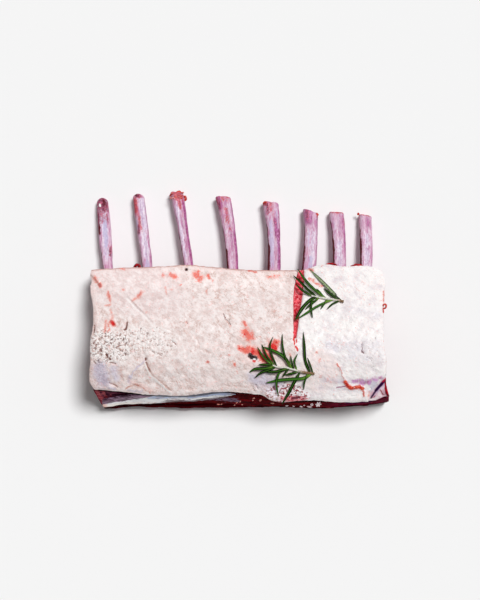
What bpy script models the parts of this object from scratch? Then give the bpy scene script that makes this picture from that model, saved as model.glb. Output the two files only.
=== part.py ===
"""Raw frenched rack of lamb with eight ribs, lying bone side down, with two rosemary sprigs on its fat.

X runs along the spine, +Y from the chine edge to the rib tips and +Z up. The origin is on the table,
under the middle of the whole piece. Every layer of the block is a cube primitive, cut into a lattice by
planes, whose points are carried to the layer's place by a function of their three shares.
"""

import math

import bmesh
import bpy
import numpy as np
from mathutils import Matrix, Vector

MM = 0.001

# Driving dimensions of the block
BLOCK_END = 111 * MM  # half its length along the spine, to the mean of the cut ends
SKIN_END_DROP = 2.0 * MM  # how far the top falls away at the two cut ends
LAYER_GAP = 0.5 * MM  # between any two touching pieces
RIM_ROUNDING = 1.6 * MM  # how far the fat's upper and lower rims draw in
MEAT_OVER_RIBS = 4.6 * MM  # from the ribs' centre line to the top of the meat round them
EYE_CORNER_Y = -44 * MM  # where the eye muscle's top starts to fall towards the ribs
SEAM_START_Y = -31 * MM

# Driving dimensions of the rib arch
CHINE_Y = -82 * MM
RIB_REST = 4.2 * MM  # height of a rib's centre line at both its ends
ARCH_RISE = 8.5 * MM
MID_LIFT = 3.0 * MM  # how much higher the tips stand at mid rack
OUTER_TIP_X = 97 * MM  # where the tips come down to the table
RIB_HALF_THICKNESS = 3.3 * MM
TIP_HALF_THICKNESS = 4.2 * MM
RIB_SIDES = 8
CHANNEL_CLEARANCE = 0.6 * MM
CHANNEL_WALL = 0.3 * MM

# Each rib: where its centre is at the chine, at the block's edge, half way out and at its tip, how far its
# tip reaches, its width at the same four places, and how much its saw cut runs back across the width. The
# first two ribs end in rounded stubs.
RIBS_MM = [
    # chine, edge, middle, tip | reach | widths | saw slant
    (-94.0, -100.2, -102.7, -105.3, 78.2, (9.0, 7.4, 10.0, 8.2), None),
    (-67.5, -70.2, -73.5, -77.8, 81.2, (9.0, 7.8, 8.6, 8.9), None),
    (-41.0, -38.8, -42.7, -48.0, 82.5, (9.0, 7.2, 8.0, 10.4), 0.10),
    (-14.0, -5.5, -7.9, -12.8, 79.2, (9.0, 8.8, 9.4, 11.7), 0.06),
    (13.0, 25.8, 25.6, 23.3, 75.4, (9.4, 9.8, 9.8, 12.4), 0.12),
    (40.0, 52.4, 53.9, 53.9, 70.0, (9.6, 11.0, 10.1, 11.5), 0.38),
    (66.5, 75.5, 75.0, 73.6, 67.4, (9.6, 10.3, 10.2, 11.7), 0.06),
    (93.0, 95.7, 96.1, 95.7, 65.4, (9.4, 9.6, 9.8, 10.0), 0.12),
]
EDGE_Y, MIDDLE_Y = 25 * MM, 50 * MM

# Leaves of the two sprigs, seen from above: the route from the stem to the tip, then the width.
UPPER_STEM_MM = [(76.4, -1.1), (68.7, 0.4), (60.0, 1.6), (52.5, 3.2)]
UPPER_LEAVES_MM = [
    ([(75.1, 1.2), (61.2, 13.4), (52.0, 22.7)], 2.4),
    ([(73.1, 1.2), (66.5, 4.6), (62.0, 8.8)], 1.9),
    ([(63.8, 0.9), (56.5, 6.5), (48.8, 14.3), (42.8, 23.1)], 2.0),
    ([(56.8, 4.3), (49.7, 8.2), (45.0, 13.1), (39.7, 18.2)], 2.1),
    ([(53.0, 4.0), (46.1, 7.1), (41.4, 11.7)], 1.7),
    ([(62.6, 2.6), (59.0, 5.8), (56.7, 8.5)], 1.4),
    ([(57.0, 3.0), (53.9, 1.2), (48.1, -3.4), (44.3, -8.2), (40.4, -15.1)], 2.7),
    ([(58.5, 1.4), (55.4, -0.6), (51.1, -4.0), (48.0, -7.0)], 1.8),
    ([(68.9, 0.2), (60.8, -2.6), (55.1, -5.6), (48.9, -9.5), (41.6, -14.2)], 1.8),
    ([(55.5, 2.4), (53.2, -0.5), (52.3, -5.9), (53.2, -13.2)], 1.5),
    ([(64.5, 0.9), (62.2, -2.4), (59.1, -7.0)], 1.3),
    ([(73.5, -0.4), (68.2, -2.8), (63.8, -7.0)], 1.5),
]
LOWER_STEM_MM = [(54.2, -53.7), (47.0, -52.8), (40.0, -50.9), (33.4, -49.2), (27.0, -48.7), (23.6, -47.2)]
LOWER_LEAVES_MM = [
    ([(51.3, -53.1), (47.8, -45.2), (46.8, -33.2), (46.3, -23.4)], 2.2),
    ([(53.4, -53.3), (51.0, -47.2), (49.1, -42.0)], 1.2),
    ([(41.3, -50.8), (39.6, -44.6), (41.9, -39.1)], 1.5),
    ([(38.9, -50.2), (37.6, -45.4), (36.8, -40.3)], 1.4),
    ([(37.1, -49.8), (32.8, -41.4), (30.9, -33.2), (30.9, -24.8)], 1.7),
    ([(38.3, -50.0), (31.2, -40.7), (24.0, -36.8), (17.2, -34.2)], 2.5),
    ([(26.9, -48.3), (23.1, -40.0), (21.8, -33.2), (23.9, -26.9)], 1.6),
    ([(25.3, -47.6), (19.5, -40.7), (15.9, -32.3)], 1.6),
    ([(23.9, -46.9), (17.2, -41.6), (12.7, -34.2)], 1.6),
    ([(24.2, -47.4), (19.5, -46.9), (13.6, -47.0)], 2.0),
    ([(26.0, -48.7), (17.2, -49.8), (10.0, -50.5), (6.8, -52.7)], 2.6),
    ([(26.5, -49.0), (20.5, -51.0), (14.9, -53.1), (10.7, -56.9)], 2.0),
    ([(35.1, -49.9), (25.3, -52.1), (16.5, -52.1)], 2.4),
    ([(34.4, -49.8), (28.6, -53.1), (26.6, -60.9), (28.3, -70.6)], 1.8),
    ([(35.8, -50.2), (33.0, -53.0), (30.9, -56.3)], 1.6),
    ([(42.9, -51.8), (38.5, -53.2), (32.8, -54.7)], 2.0),
    ([(52.6, -54.0), (46.5, -56.9), (38.3, -57.6), (28.6, -58.5), (18.9, -60.5)], 2.8),
    ([(43.6, -52.2), (39.6, -59.9), (36.0, -67.3), (30.8, -77.0)], 2.4),
    ([(49.5, -53.5), (46.9, -60.2), (46.5, -66.0)], 1.4),
]
STEM_RADIUS = 1.1 * MM
LEAF_THICKNESS = 0.9 * MM
LEAF_RISE = 1.5 * MM  # how far a leaf arches over the fat at mid length
SPRIG_CLEARANCE = 0.35 * MM
SPRIG_DEPTH = 1.2 * MM  # from the fat to a leaf's centre line, before it arches
LEAF_TIER = 0.13 * MM  # neighbouring leaves leave the stem one above another, by this much
LEAF_SPANS = 4


def curve_through(points_mm):
    """A smooth function through (position, value) points in millimetres: cubic spans with shared slopes."""
    at, value = np.array(points_mm, float).T * MM
    slope = np.gradient(value, at)

    def read(x):
        x = min(max(x, at[0]), at[-1])
        i = min(max(int(np.searchsorted(at, x)) - 1, 0), len(at) - 2)
        width = at[i + 1] - at[i]
        t = (x - at[i]) / width
        rise, ease = t * t * (3 - 2 * t), t * (1 - t)
        return (
            value[i] * (1 - rise)
            + value[i + 1] * rise
            + width * ease * ((1 - t) * slope[i] - t * slope[i + 1])
        )

    return read


def mix(a, b, share):
    return a + (b - a) * share


def ease(share):
    share = min(max(share, 0.0), 1.0)
    return share * share * (3 - 2 * share)


# Outlines seen from above. The ends are functions of Y, the long edges functions of X.
fat_left = curve_through([(-67, -106.2), (-63.5, -108.8), (-45, -109.5), (-28, -109.5), (-21, -108.5),
                          (-8, -108.5), (4, -110.6), (10, -111.4), (14, -110.8), (18, -112.0), (22, -111.4)])
fat_right = curve_through([(-76, 94.3), (-70, 95.6), (-66, 97.6), (-62.5, 100.4), (-59, 103.6), (-56.5, 106.3),
                           (-50, 107.2), (-28, 105.4), (0, 106.9), (19, 107.6), (22, 106.4)])
fat_chine_edge = curve_through([(-106, -66), (-92, -67.2), (-71, -69.5), (-31, -69.8), (-17, -67.8),
                                (11, -68.8), (22, -70.4), (29, -73.6), (62, -74.2), (98, -75.6), (108, -75)])
fat_rib_edge = curve_through([(-112, 22.6), (-97, 23.6), (-52, 25.5), (-38, 26.4), (-22, 25.1), (0, 22.9),
                              (34, 22.4), (46, 22.6), (58, 26.2), (80, 25.2), (99, 24.9), (108, 22)])
meat_left = curve_through([(-82.5, -103.2), (-76, -106.0), (-69, -108.5), (-60, -108.6), (-31, -108.2),
                           (-6, -107.6), (10, -110.0), (24, -110.4)])
meat_right = curve_through([(-82, 110.6), (-76, 112.2), (-70, 109.6), (-64, 107.9), (-57, 107.6), (-50, 106.6),
                            (-28, 104.8), (0, 106.4), (24, 106.6)])
meat_chine_edge = curve_through([(-106, -82.5), (-88, -81.2), (-50, -81.8), (0, -81.5), (32, -81.2),
                                 (58, -82.4), (72, -81.4), (94, -79.6), (112, -76.8)])

# Heights across the block, as functions of Y
skin_profile = curve_through([(-84, 31), (-76, 40), (-70, 44), (-60, 49), (-46, 52), (-28, 49.5), (-8, 42),
                              (10, 34.5), (27, 28.4)])
fat_thickness = curve_through([(-80, 5), (-46, 5.6), (0, 4.8), (27, 4.2)])
cap_thickness = curve_through([(-112, 3.0), (20, 4.0), (112, 5.2)])  # thicker towards the shoulder, +X
eye_reach = curve_through([(-112, -13), (112, -21)])  # larger towards the loin, -X
rib_reach = curve_through([(rib[3], rib[4]) for rib in RIBS_MM])


def rib_height(x, y):
    """Height of the ribs' centre line: an arch from the chine edge to the tips, lifted a little at mid rack."""
    s = (y - CHINE_Y) / (rib_reach(x) - CHINE_Y)
    lift = MID_LIFT * (1 - (x / OUTER_TIP_X) ** 2)
    return RIB_REST + 4 * ARCH_RISE * s * (1 - s) + lift * s * s


def skin(x, y):
    """Height of the fat's outer surface."""
    return skin_profile(y) - SKIN_END_DROP * (x / BLOCK_END) ** 4


def under_fat(x, y):
    return skin(x, y) - fat_thickness(y)


def under_cap(x, y):
    return under_fat(x, y) - cap_thickness(x) * mix(1, 0.72, ease((y + 15 * MM) / (40 * MM)))


def over_ribs(x, y):
    return rib_height(x, y) + MEAT_OVER_RIBS


def eye_top(x, y):
    """The eye muscle's top follows the cap, then falls to the ribs as a quarter of an ellipse, cut blunt."""
    t = min(max((y - EYE_CORNER_Y) / (eye_reach(x) - EYE_CORNER_Y), 0.0), 0.985)
    return over_ribs(x, y) + (under_cap(x, y) - over_ribs(x, y)) * math.sqrt(1 - t * t)


def bent(share, start, bend, end):
    """A Y that runs from start to bend in the first half of the share, and on to end in the second."""
    return mix(start, bend, 2 * share) if share < 0.5 else mix(bend, end, 2 * share - 1)


def plan(u, v, left, right, near, far):
    """The point at shares u along and v across an outline with four curved edges."""
    x = mix(left(0), right(0), u)
    y = mix(near(x), far(x), v)
    x = mix(left(y), right(y), u)
    return x, y


# Building
def finish(mesh, name, material, sharp_angle=40):
    """Makes the bmesh an object of the rack, smooth apart from its sharp edges."""
    mesh.normal_update()
    bmesh.ops.recalc_face_normals(mesh, faces=mesh.faces[:])
    data = bpy.data.meshes.new(name)
    mesh.to_mesh(data)
    mesh.free()
    data.shade_smooth()
    data.set_sharp_from_angle(angle=math.radians(sharp_angle))
    data.materials.append(material)
    made = bpy.data.objects.new(name, data)
    rack.objects.link(made)
    return made


def even(count):
    """The shares that divide a side into this many equal spans."""
    return [i / count for i in range(1, count)]


def cut_across(mesh, axis, shares):
    normal = Vector((0, 0, 0))
    normal[axis] = 1
    for share in shares:
        whole = mesh.verts[:] + mesh.edges[:] + mesh.faces[:]
        bmesh.ops.bisect_plane(mesh, geom=whole, plane_co=normal * share, plane_no=normal)


def block(name, material, cuts, place):
    """A unit cube cut at the given shares of its three sides, with every point carried by place(u, v, w)."""
    mesh = bmesh.new()
    bmesh.ops.create_cube(mesh, size=1, matrix=Matrix.Translation((0.5, 0.5, 0.5)))
    for axis, shares in enumerate(cuts):
        cut_across(mesh, axis, shares)
    for vert in mesh.verts:
        vert.co = place(*vert.co)
    return finish(mesh, name, material)


def rod(name, material, sides, shares, place):
    """A cylinder cut into rings at the given shares of its length, carried by place(across, up, share)."""
    mesh = bmesh.new()
    bmesh.ops.create_cone(mesh, cap_ends=True, segments=sides, radius1=1, radius2=1, depth=1,
                          matrix=Matrix.Translation((0, 0, 0.5)))
    cut_across(mesh, 2, shares)
    for vert in mesh.verts:
        vert.co = place(*vert.co)
    return finish(mesh, name, material)


def paint(name, colour, roughness):
    material = bpy.data.materials.new(name)
    material.use_nodes = True
    shader = material.node_tree.nodes["Principled BSDF"]
    shader.inputs["Base Color"].default_value = (*colour, 1)
    shader.inputs["Roughness"].default_value = roughness
    shader.inputs["Metallic"].default_value = 0
    material.diffuse_color = (*colour, 1)
    return material


# The fat cap: one sheet over the whole block, parted at the seam between its two flaps
seam_left = curve_through([(-34, 40.3), (-27, 39.8), (-9, 39.4), (4, 40.0), (13, 41.9), (24, 44.6), (34, 45.4)])
seam_right = curve_through([(-34, 40.9), (-28, 41.6), (-18, 43.8), (0, 45.7), (10, 46.9), (24, 47.8), (34, 48.0)])
SEAM_FOOT, SEAM_HEAD = -32 * MM, 32 * MM


def build_fat_cap():
    def place(u, v, w):
        x, y = plan(u, v, fat_left, fat_right, fat_chine_edge, fat_rib_edge)
        draw_in = RIM_ROUNDING * (2 * w - 1) ** 2
        x -= draw_in * (2 * u - 1) ** 7
        y -= draw_in * (2 * v - 1) ** 7
        return x, y, mix(under_fat(x, y), skin(x, y), w)

    across = [0.035, 0.1, 0.17, 0.25, 0.34, 0.43, 0.54, 0.67, 0.8, 0.91, 0.97]
    along = [0.01, *even(20), 0.99]
    fat = block("fat_cap", fat_paint, (along, across, [1 / 3, 2 / 3]), place)

    def place_cutter(u, v, w):
        y = mix(SEAM_FOOT, SEAM_HEAD, v)
        return mix(seam_left(y), seam_right(y), u), y, mix(10 * MM, 70 * MM, w)

    cutter = block("fat_seam_cutter", fat_paint, ([], even(8), []), place_cutter)
    rack.objects.unlink(cutter)
    cutters.objects.link(cutter)
    cutter.hide_render = True
    cutter.display_type = "WIRE"
    cut = fat.modifiers.new("seam", "BOOLEAN")
    cut.operation = "DIFFERENCE"
    cut.solver = "EXACT"
    cut.object = cutter


CAP_ROWS = [0.05, 0.11, 0.18, 0.26, 0.34, 0.42, 0.53, 0.67, 0.83]  # closest over the crest of the eye muscle
CAP_GAP = 0.65 * MM  # under the fat, which the flats of their faces narrow to 0.3


def build_cap_muscle():
    """The thin muscle under the fat. Its corner at the shoulder end shows where the fat is trimmed off."""
    def near(x):
        return mix(fat_chine_edge(x) + 1.2 * MM, meat_chine_edge(x) + 3 * MM, ease((x - 92 * MM) / (16 * MM)))

    def place(u, v, w):
        x, y = plan(u, v, meat_left, meat_right, near, lambda x: fat_rib_edge(x) - 0.8 * MM)
        top = under_fat(x, y) - CAP_GAP
        return x, y, mix(under_cap(x, y), top, w)

    block("cap_muscle", lean_paint, (even(12), CAP_ROWS, []), place)


def build_seam_fat():
    """The wedge of fat that fills the space between the eye muscle, the cap and the ribs."""
    def place(u, v, w):
        x = mix(meat_left(0), meat_right(0), u)
        y = bent(v, SEAM_START_Y, eye_reach(x), fat_rib_edge(x) - 1.2 * MM)
        if v == 0.5:
            y += LAYER_GAP
        x = mix(meat_left(y), meat_right(y), u)
        floor = over_ribs(x, y) if v > 0.5 else eye_top(x, y)
        return x, y, mix(floor + LAYER_GAP, under_cap(x, y) - 1.4 * LAYER_GAP, w)

    rows = [*EYE_FALL, 0.5, 0.53, 0.62, 0.75, 0.88]
    block("seam_fat", fat_paint, (even(12), rows, []), place)


SINEW_THICKNESS = 1.8 * MM
SINEW_GAP = 1.25 * MM  # from the bed to the sinew's back, which the flats of their faces narrow to 0.3
sinew_middle = curve_through([(-104, 20.2), (-78, 24.2), (-55, 28.4), (-30, 29.8), (-3, 32.4)])  # height
sinew_half = curve_through([(-104, 3.4), (-90, 4.4), (-67, 5.6), (-45, 4.3), (-25, 2.7), (-3, 1.2)])


def sinew_bed(x):
    """How deep the eye muscle gives way to the sinew: fully at the loin end, not at all past its tip."""
    return (SINEW_THICKNESS + LAYER_GAP) * (1 - ease((x + 22 * MM) / (30 * MM)))


def chine_face(x, z):
    """Y of the eye muscle's chine side at height z: it leans in from the ribs up to the fat's edge."""
    foot = over_ribs(x, CHINE_Y)
    head = under_cap(x, fat_chine_edge(x))
    share = min(max((z - foot) / (head - foot), 0), 1)
    return mix(meat_chine_edge(x) + 0.4 * MM, fat_chine_edge(x) + 2.4 * MM, share**1.7)


EYE_FALL = [0.12, 0.24, 0.35, 0.44]  # the rows where the eye muscle falls away, which the seam fat shares
EYE_ROWS = [0.07, 0.15, 0.24, 0.32, 0.41, 0.5, *(0.5 + share for share in EYE_FALL)]


def build_eye_muscle():
    """The loin's round muscle, along the chine."""
    def place(u, v, w):
        x = mix(meat_left(0), meat_right(0), u)
        z_face = mix(over_ribs(x, CHINE_Y), under_cap(x, fat_chine_edge(x)), w)
        y = bent(v, chine_face(x, z_face) + sinew_bed(x), SEAM_START_Y, eye_reach(x))
        x = mix(meat_left(y), meat_right(y), u)
        return x, y, mix(over_ribs(x, y) + LAYER_GAP, eye_top(x, y) - LAYER_GAP, w)

    block("eye_muscle", eye_paint, (even(12), EYE_ROWS, even(4)), place)


def build_sinew_band():
    """The white ligament along the chine side, low at the loin end and rising until it thins away."""
    start, end = -103 * MM, -3 * MM

    def place(u, v, w):
        x = mix(start, end, u)
        z = sinew_middle(x) + sinew_half(x) * (2 * w - 1)
        depth = SINEW_THICKNESS * (1 - 0.4 * (2 * w - 1) ** 2)
        y = chine_face(x, z) + sinew_bed(x) - SINEW_GAP
        return x, y - depth * (1 - v) * mix(1, 0.5, u), z

    block("sinew_band", sinew_paint, (even(16), [], [0.2, 0.5, 0.8]), place)


# The ribs and the meat between them
def rib_line(rib):
    """Centre X and half width of a rib, each as a function of Y."""
    chine, edge, middle, tip, reach, widths, _ = rib
    places = (CHINE_Y / MM, EDGE_Y / MM, MIDDLE_Y / MM, reach)
    centre = curve_through(list(zip(places, (chine, edge, middle, tip))))
    half = curve_through([(y, w / 2) for y, w in zip(places, widths)])
    return centre, half


def half_thickness(y, reach):
    """A rib keeps its thickness to the middle of the bare bone and swells to its tip."""
    return mix(RIB_HALF_THICKNESS, TIP_HALF_THICKNESS, ease((y - MIDDLE_Y) / (reach - MIDDLE_Y)))


def build_rib(index, rib):
    centre, half = rib_line(rib)
    reach = rib[4] * MM
    start = meat_chine_edge(rib[0] * MM) + 0.6 * MM
    slant = rib[6]
    rounded = slant is None

    def place(across, up, share):
        y = mix(start, reach, share)
        swell = math.sqrt(1 - 0.7 * ease((share - 0.965) / 0.035)) if rounded else 1
        x = centre(y) + across * half(y) * swell
        z = rib_height(centre(y), y) + up * half_thickness(y, reach) * swell
        if not rounded:
            y -= slant * half(y) * (1 + across) * ease((share - 0.9) / 0.1)
        return x, y, z

    shares = [*even(10), 0.965, 0.986] if rounded else even(10)
    rod(f"rib_{index + 1}", bone_paint, RIB_SIDES, shares, place)


MEMBRANE_RISE = 0.3 * MM  # the skin between the ribs lies this far over their centre line
FLAT_SHARE, ARCH_SHARE = 0.15, 0.23  # the meat lies flat on the table up to the first, and arches past the second


def meat_columns():
    """The lines along which the rib meat is cut: its two ends, and each channel's lips and angles.

    A channel's wall stands between its lip and its edge, which is at the angle 0 or 180.
    """
    columns = [("left", None)]
    for index in range(len(RIBS_MM)):
        columns += [(index, "left lip"), *((index, angle) for angle in (180, 135, 90, 45, 0)), (index, "right lip")]
    return columns + [("right", None)]


def build_rib_meat():
    """The sheet of meat round the ribs, with a channel for each rib open to the underside."""
    columns = meat_columns()
    lines = [rib_line(rib) for rib in RIBS_MM]

    def lip(index, side, y):
        centre, half = lines[index]
        return centre(y) + side * (half(y) + CHANNEL_CLEARANCE + CHANNEL_WALL)

    def column_x(kind, detail, y):
        if kind == "left":
            return meat_left(y)
        if kind == "right":
            return meat_right(y)
        if detail == "left lip":
            return lip(kind, -1, y)
        if detail == "right lip":
            return lip(kind, 1, y)
        centre, half = lines[kind]
        return centre(y) + math.cos(math.radians(detail)) * (half(y) + CHANNEL_CLEARANCE)

    def place(u, v, w):
        kind, detail = columns[round(u * (len(columns) - 1))]
        x = column_x(kind, detail, 0)
        y = mix(meat_chine_edge(x), fat_rib_edge(x) - 1.0 * MM, v)
        x = column_x(kind, detail, y)
        middle = rib_height(x, y)
        if isinstance(detail, int):
            low = middle + math.sin(math.radians(detail)) * (RIB_HALF_THICKNESS + CHANNEL_CLEARANCE)
        else:
            low = (middle + MEMBRANE_RISE) * ease((v - FLAT_SHARE) / (ARCH_SHARE - FLAT_SHARE))
        return x, y, mix(low, over_ribs(x, y), w)

    rows = [0.055, FLAT_SHARE, ARCH_SHARE, 0.4, 0.6, 0.8]
    block("rib_meat", lean_paint, (even(len(columns) - 1), rows, []), place)


# Rosemary
def path_points(route_mm, count):
    """Evenly shared points on a smooth curve through the route, as arrays of X and Y."""
    route = np.array(route_mm, float)
    along = np.concatenate([[0], np.cumsum(np.hypot(*np.diff(route, axis=0).T))])
    x_of = curve_through(np.column_stack([along, route[:, 0]]))
    y_of = curve_through(np.column_stack([along, route[:, 1]]))
    shares = np.linspace(0, along[-1] * MM, count)
    return np.array([(x_of(s), y_of(s)) for s in shares])


def stem_point(sockets, x, y):
    """The nearest point of the stem's middle line, so that a leaf starts inside the stem."""
    return min(sockets, key=lambda p: (p[0] - x) ** 2 + (p[1] - y) ** 2)


def build_sprig(name, stem_mm, leaves_mm):
    """A stem with its leaves joined to it. It lies on the fat, with each leaf arched a little over it."""
    stem = path_points(stem_mm, 9)
    sockets = path_points(stem_mm, 61)

    def stem_height(x, y):
        return skin(x, y) + STEM_RADIUS + SPRIG_CLEARANCE

    def place_stem(across, up, share):
        i = min(int(share * 8), 7)
        x, y = mix(stem[i], stem[i + 1], share * 8 - i)
        dx, dy = stem[i + 1] - stem[i]
        length = math.hypot(dx, dy)
        radius = STEM_RADIUS * mix(1, 0.6, share)
        side = across * radius / length
        return x - dy * side, y + dx * side, stem_height(x, y) + up * radius

    trunk = rod(name, leaf_paint, 6, even(8), place_stem)
    leaves = bpy.data.collections.new(name + "_leaves")
    cutters.children.link(leaves)
    for number, (route, width_mm) in enumerate(leaves_mm):
        start = stem_point(sockets, *(np.array(route[0]) * MM))
        points = path_points([tuple(start / MM), *route[1:]], LEAF_SPANS + 1)
        tier = LEAF_TIER * (number % 5 - 2)

        def place_leaf(across, up, share):
            i = min(int(share * LEAF_SPANS), LEAF_SPANS - 1)
            x, y = mix(points[i], points[i + 1], share * LEAF_SPANS - i)
            dx, dy = points[i + 1] - points[i]
            length = math.hypot(dx, dy)
            half = width_mm * MM / 2 * mix(0.55, 1, ease(share / 0.3)) * mix(1, 0.35, ease((share - 0.6) / 0.4))
            side = across * half / length
            lift = tier + LEAF_RISE * math.sin(math.pi * share)
            height = mix(stem_height(x, y), skin(x, y) + SPRIG_DEPTH, ease(share / 0.3)) + lift
            return x - dy * side, y + dx * side, height + up * LEAF_THICKNESS / 2

        leaf = rod(f"{name}_leaf_{number}", leaf_paint, 6, even(LEAF_SPANS), place_leaf)
        rack.objects.unlink(leaf)
        leaves.objects.link(leaf)
        leaf.hide_render = True
        leaf.display_type = "WIRE"
    join = trunk.modifiers.new("leaves", "BOOLEAN")
    join.operation = "UNION"
    join.solver = "EXACT"
    join.operand_type = "COLLECTION"
    join.collection = leaves
    join.use_self = True


for old in list(bpy.data.objects):
    bpy.data.objects.remove(old)
rack = bpy.data.collections.new("rack_of_lamb")
cutters = bpy.data.collections.new("cutters")
bpy.context.scene.collection.children.link(rack)
bpy.context.scene.collection.children.link(cutters)

fat_paint = paint("lamb_fat", (0.86, 0.75, 0.72), 0.45)
lean_paint = paint("lean_meat", (0.42, 0.06, 0.07), 0.4)
eye_paint = paint("eye_meat", (0.30, 0.03, 0.04), 0.35)
sinew_paint = paint("sinew", (0.62, 0.60, 0.64), 0.3)
bone_paint = paint("bone", (0.72, 0.52, 0.62), 0.45)
leaf_paint = paint("rosemary", (0.05, 0.14, 0.03), 0.4)

build_fat_cap()
build_cap_muscle()
build_seam_fat()
build_eye_muscle()
build_sinew_band()
build_rib_meat()
for rib_index, rib_sizes in enumerate(RIBS_MM):
    build_rib(rib_index, rib_sizes)
build_sprig("rosemary_upper", UPPER_STEM_MM, UPPER_LEAVES_MM)
build_sprig("rosemary_lower", LOWER_STEM_MM, LOWER_LEAVES_MM)
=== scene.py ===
import bmesh
import bpy
import numpy as np
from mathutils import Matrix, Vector


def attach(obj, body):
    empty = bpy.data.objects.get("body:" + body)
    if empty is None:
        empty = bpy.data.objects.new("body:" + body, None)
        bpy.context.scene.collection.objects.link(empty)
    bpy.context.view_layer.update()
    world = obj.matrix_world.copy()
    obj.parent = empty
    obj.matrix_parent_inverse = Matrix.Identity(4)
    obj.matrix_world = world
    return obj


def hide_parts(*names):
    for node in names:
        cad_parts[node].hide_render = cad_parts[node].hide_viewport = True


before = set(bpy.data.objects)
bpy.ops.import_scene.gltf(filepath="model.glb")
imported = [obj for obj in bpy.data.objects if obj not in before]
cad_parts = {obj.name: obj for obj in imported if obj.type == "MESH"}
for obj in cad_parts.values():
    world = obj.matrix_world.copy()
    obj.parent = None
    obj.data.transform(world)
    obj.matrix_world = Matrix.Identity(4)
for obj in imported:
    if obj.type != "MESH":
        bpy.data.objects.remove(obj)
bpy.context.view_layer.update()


# The ribs. Eight bones, scraped bare outside the block, and sawn through but for the first two's round tips.
# What is left of their skin streaks them pink and lilac, and the tips are bruised. Each lies in a channel of
# the rib meat. Sizes are in millimetres throughout, and every mesh is brought to metres as it is made.
class Signal:
    """A value in a finish. Arithmetic on it adds the Math nodes that work it out."""

    def __init__(self, finish, socket):
        self.finish, self.socket = finish, socket

    def reckon(self, operation, *values):
        return self.finish.node("Math", dict(enumerate(values)), operation=operation)

    def __add__(self, other):
        return self.reckon("ADD", self, other)

    def __sub__(self, other):
        return self.reckon("SUBTRACT", self, other)

    def __rsub__(self, other):
        return self.reckon("SUBTRACT", other, self)

    def __mul__(self, other):
        return self.reckon("MULTIPLY", self, other)

    __radd__, __rmul__ = __add__, __mul__

    def step(self, low, high):
        """0 up to low, 1 from high on, and smooth between."""
        return self.finish.node("MapRange", {0: self, 1: low, 2: high}, interpolation_type="SMOOTHSTEP")


class Finish:
    """A material of a Principled shader, with the nodes that vary it and the colour laid on so far."""

    def __init__(self, name, **constants):
        self.material = bpy.data.materials.new(name)
        self.material.use_nodes = True
        self.tree = self.material.node_tree
        self.shader = self.tree.nodes["Principled BSDF"]
        self.colour = None
        for socket, value in constants.items():
            self.shader.inputs[socket.replace("_", " ")].default_value = value

    def feed(self, socket, value):
        if isinstance(value, Signal):
            self.tree.links.new(value.socket, socket)
        else:
            socket.default_value = value

    def node(self, kind, sockets, out=0, **settings):
        """Any node: its settings first, then the values or links of its sockets."""
        made = self.tree.nodes.new("ShaderNode" + kind)
        for name, value in settings.items():
            setattr(made, name, value)
        for key, value in sockets.items():
            self.feed(made.inputs[key], value)
        return Signal(self, made.outputs[out])

    def mark(self, name):
        return self.node("Attribute", {}, out="Fac", attribute_name=name)

    def spread(self, size, stretch=(1, 1, 1), turn=0):
        """Object coordinates scaled so that a pattern of size 1 comes out at this size in millimetres."""
        place = self.node("TexCoord", {}, out="Object")
        place = self.node("Mapping", {"Vector": place, "Rotation": (0, 0, turn)})
        return self.node("Mapping", {"Vector": place, "Scale": [1000 / (size * s) for s in stretch]})

    def noise(self, size, stretch=(1, 1, 1), turn=0, detail=3, rough=0.55, warp=0):
        place = self.spread(size, stretch, turn)
        return self.node("TexNoise", {"Vector": place, "Scale": 1, "Detail": detail, "Roughness": rough,
                                      "Distortion": warp})

    def cells(self, size):
        """Distance from the middle of each crumb, for crumbs of this size."""
        return self.node("TexVoronoi", {"Vector": self.spread(size), "Scale": 1})

    def patchy(self, mark, noise, reach, edge=0.22, low=0.4):
        """A mark broken up by noise: solid where it is strong, scattered specks where it is faint."""
        return (self.mark(mark) + (noise - 0.5) * reach).step(low, low + edge)

    def tint(self, share, *colours):
        """Mixes two colours. Each is a mix made before, or red, green and blue as a screen shows them."""
        first, second = (tone(*colour) if isinstance(colour, tuple) else colour for colour in colours)
        return self.node("Mix", {0: share, 6: first, 7: second}, out=2, data_type="RGBA")

    def coat(self, share, colour, other=None, by=None, low=0.42, high=0.58):
        """Lays a colour over the last by share. Of two, the first shows where by is low, the other high."""
        if other:
            colour = self.tint(by.step(low, high), colour, other)
        self.colour = self.tint(share, self.colour, colour) if self.colour else colour

    def show(self, roughness, height, depth, glow=None):
        """Feeds the shader. Height is in shares of depth, in millimetres."""
        bump = self.node("Bump", {"Strength": 1, "Distance": depth / 1000, "Height": height})
        for socket, value in (("Base Color", self.colour), ("Roughness", roughness), ("Normal", bump),
                              ("Emission Color", glow)):
            if value is not None:
                self.feed(self.shader.inputs[socket], value)


def tone(*screen):
    """A colour given as a screen shows it, 0 to 255, in the linear values that a shader takes."""
    screen = np.array(screen) / 255
    return (*np.where(screen <= 0.04045, screen / 12.92, ((screen + 0.055) / 1.055) ** 2.4), 1)


def curve(at, value):
    """A smooth function with these values at these places: cubic spans with their neighbours' mean slopes."""
    at, value = np.array(at, float), np.array(value, float)
    slope = np.gradient(value, at)

    def read(x):
        x = np.clip(x, at[0], at[-1])
        i = np.clip(np.searchsorted(at, x) - 1, 0, len(at) - 2)
        width = at[i + 1] - at[i]
        t = (x - at[i]) / width
        bend = width * t * (1 - t) * ((1 - t) * slope[i] - t * slope[i + 1])
        return mix(value[i], value[i + 1], ease(t)) + bend

    return read


def curve_through(*numbers):
    """The curve through place, value, place, value and so on."""
    return curve(numbers[::2], numbers[1::2])


def mix(first, second, share):
    """The first at share 0, the second at share 1, and evenly between."""
    return first + (second - first) * share


def ease(share):
    """0 to 1 with a level start and end: 3 s^2 - 2 s^3."""
    share = np.clip(share, 0, 1)
    return share * share * (3 - 2 * share)


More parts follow.
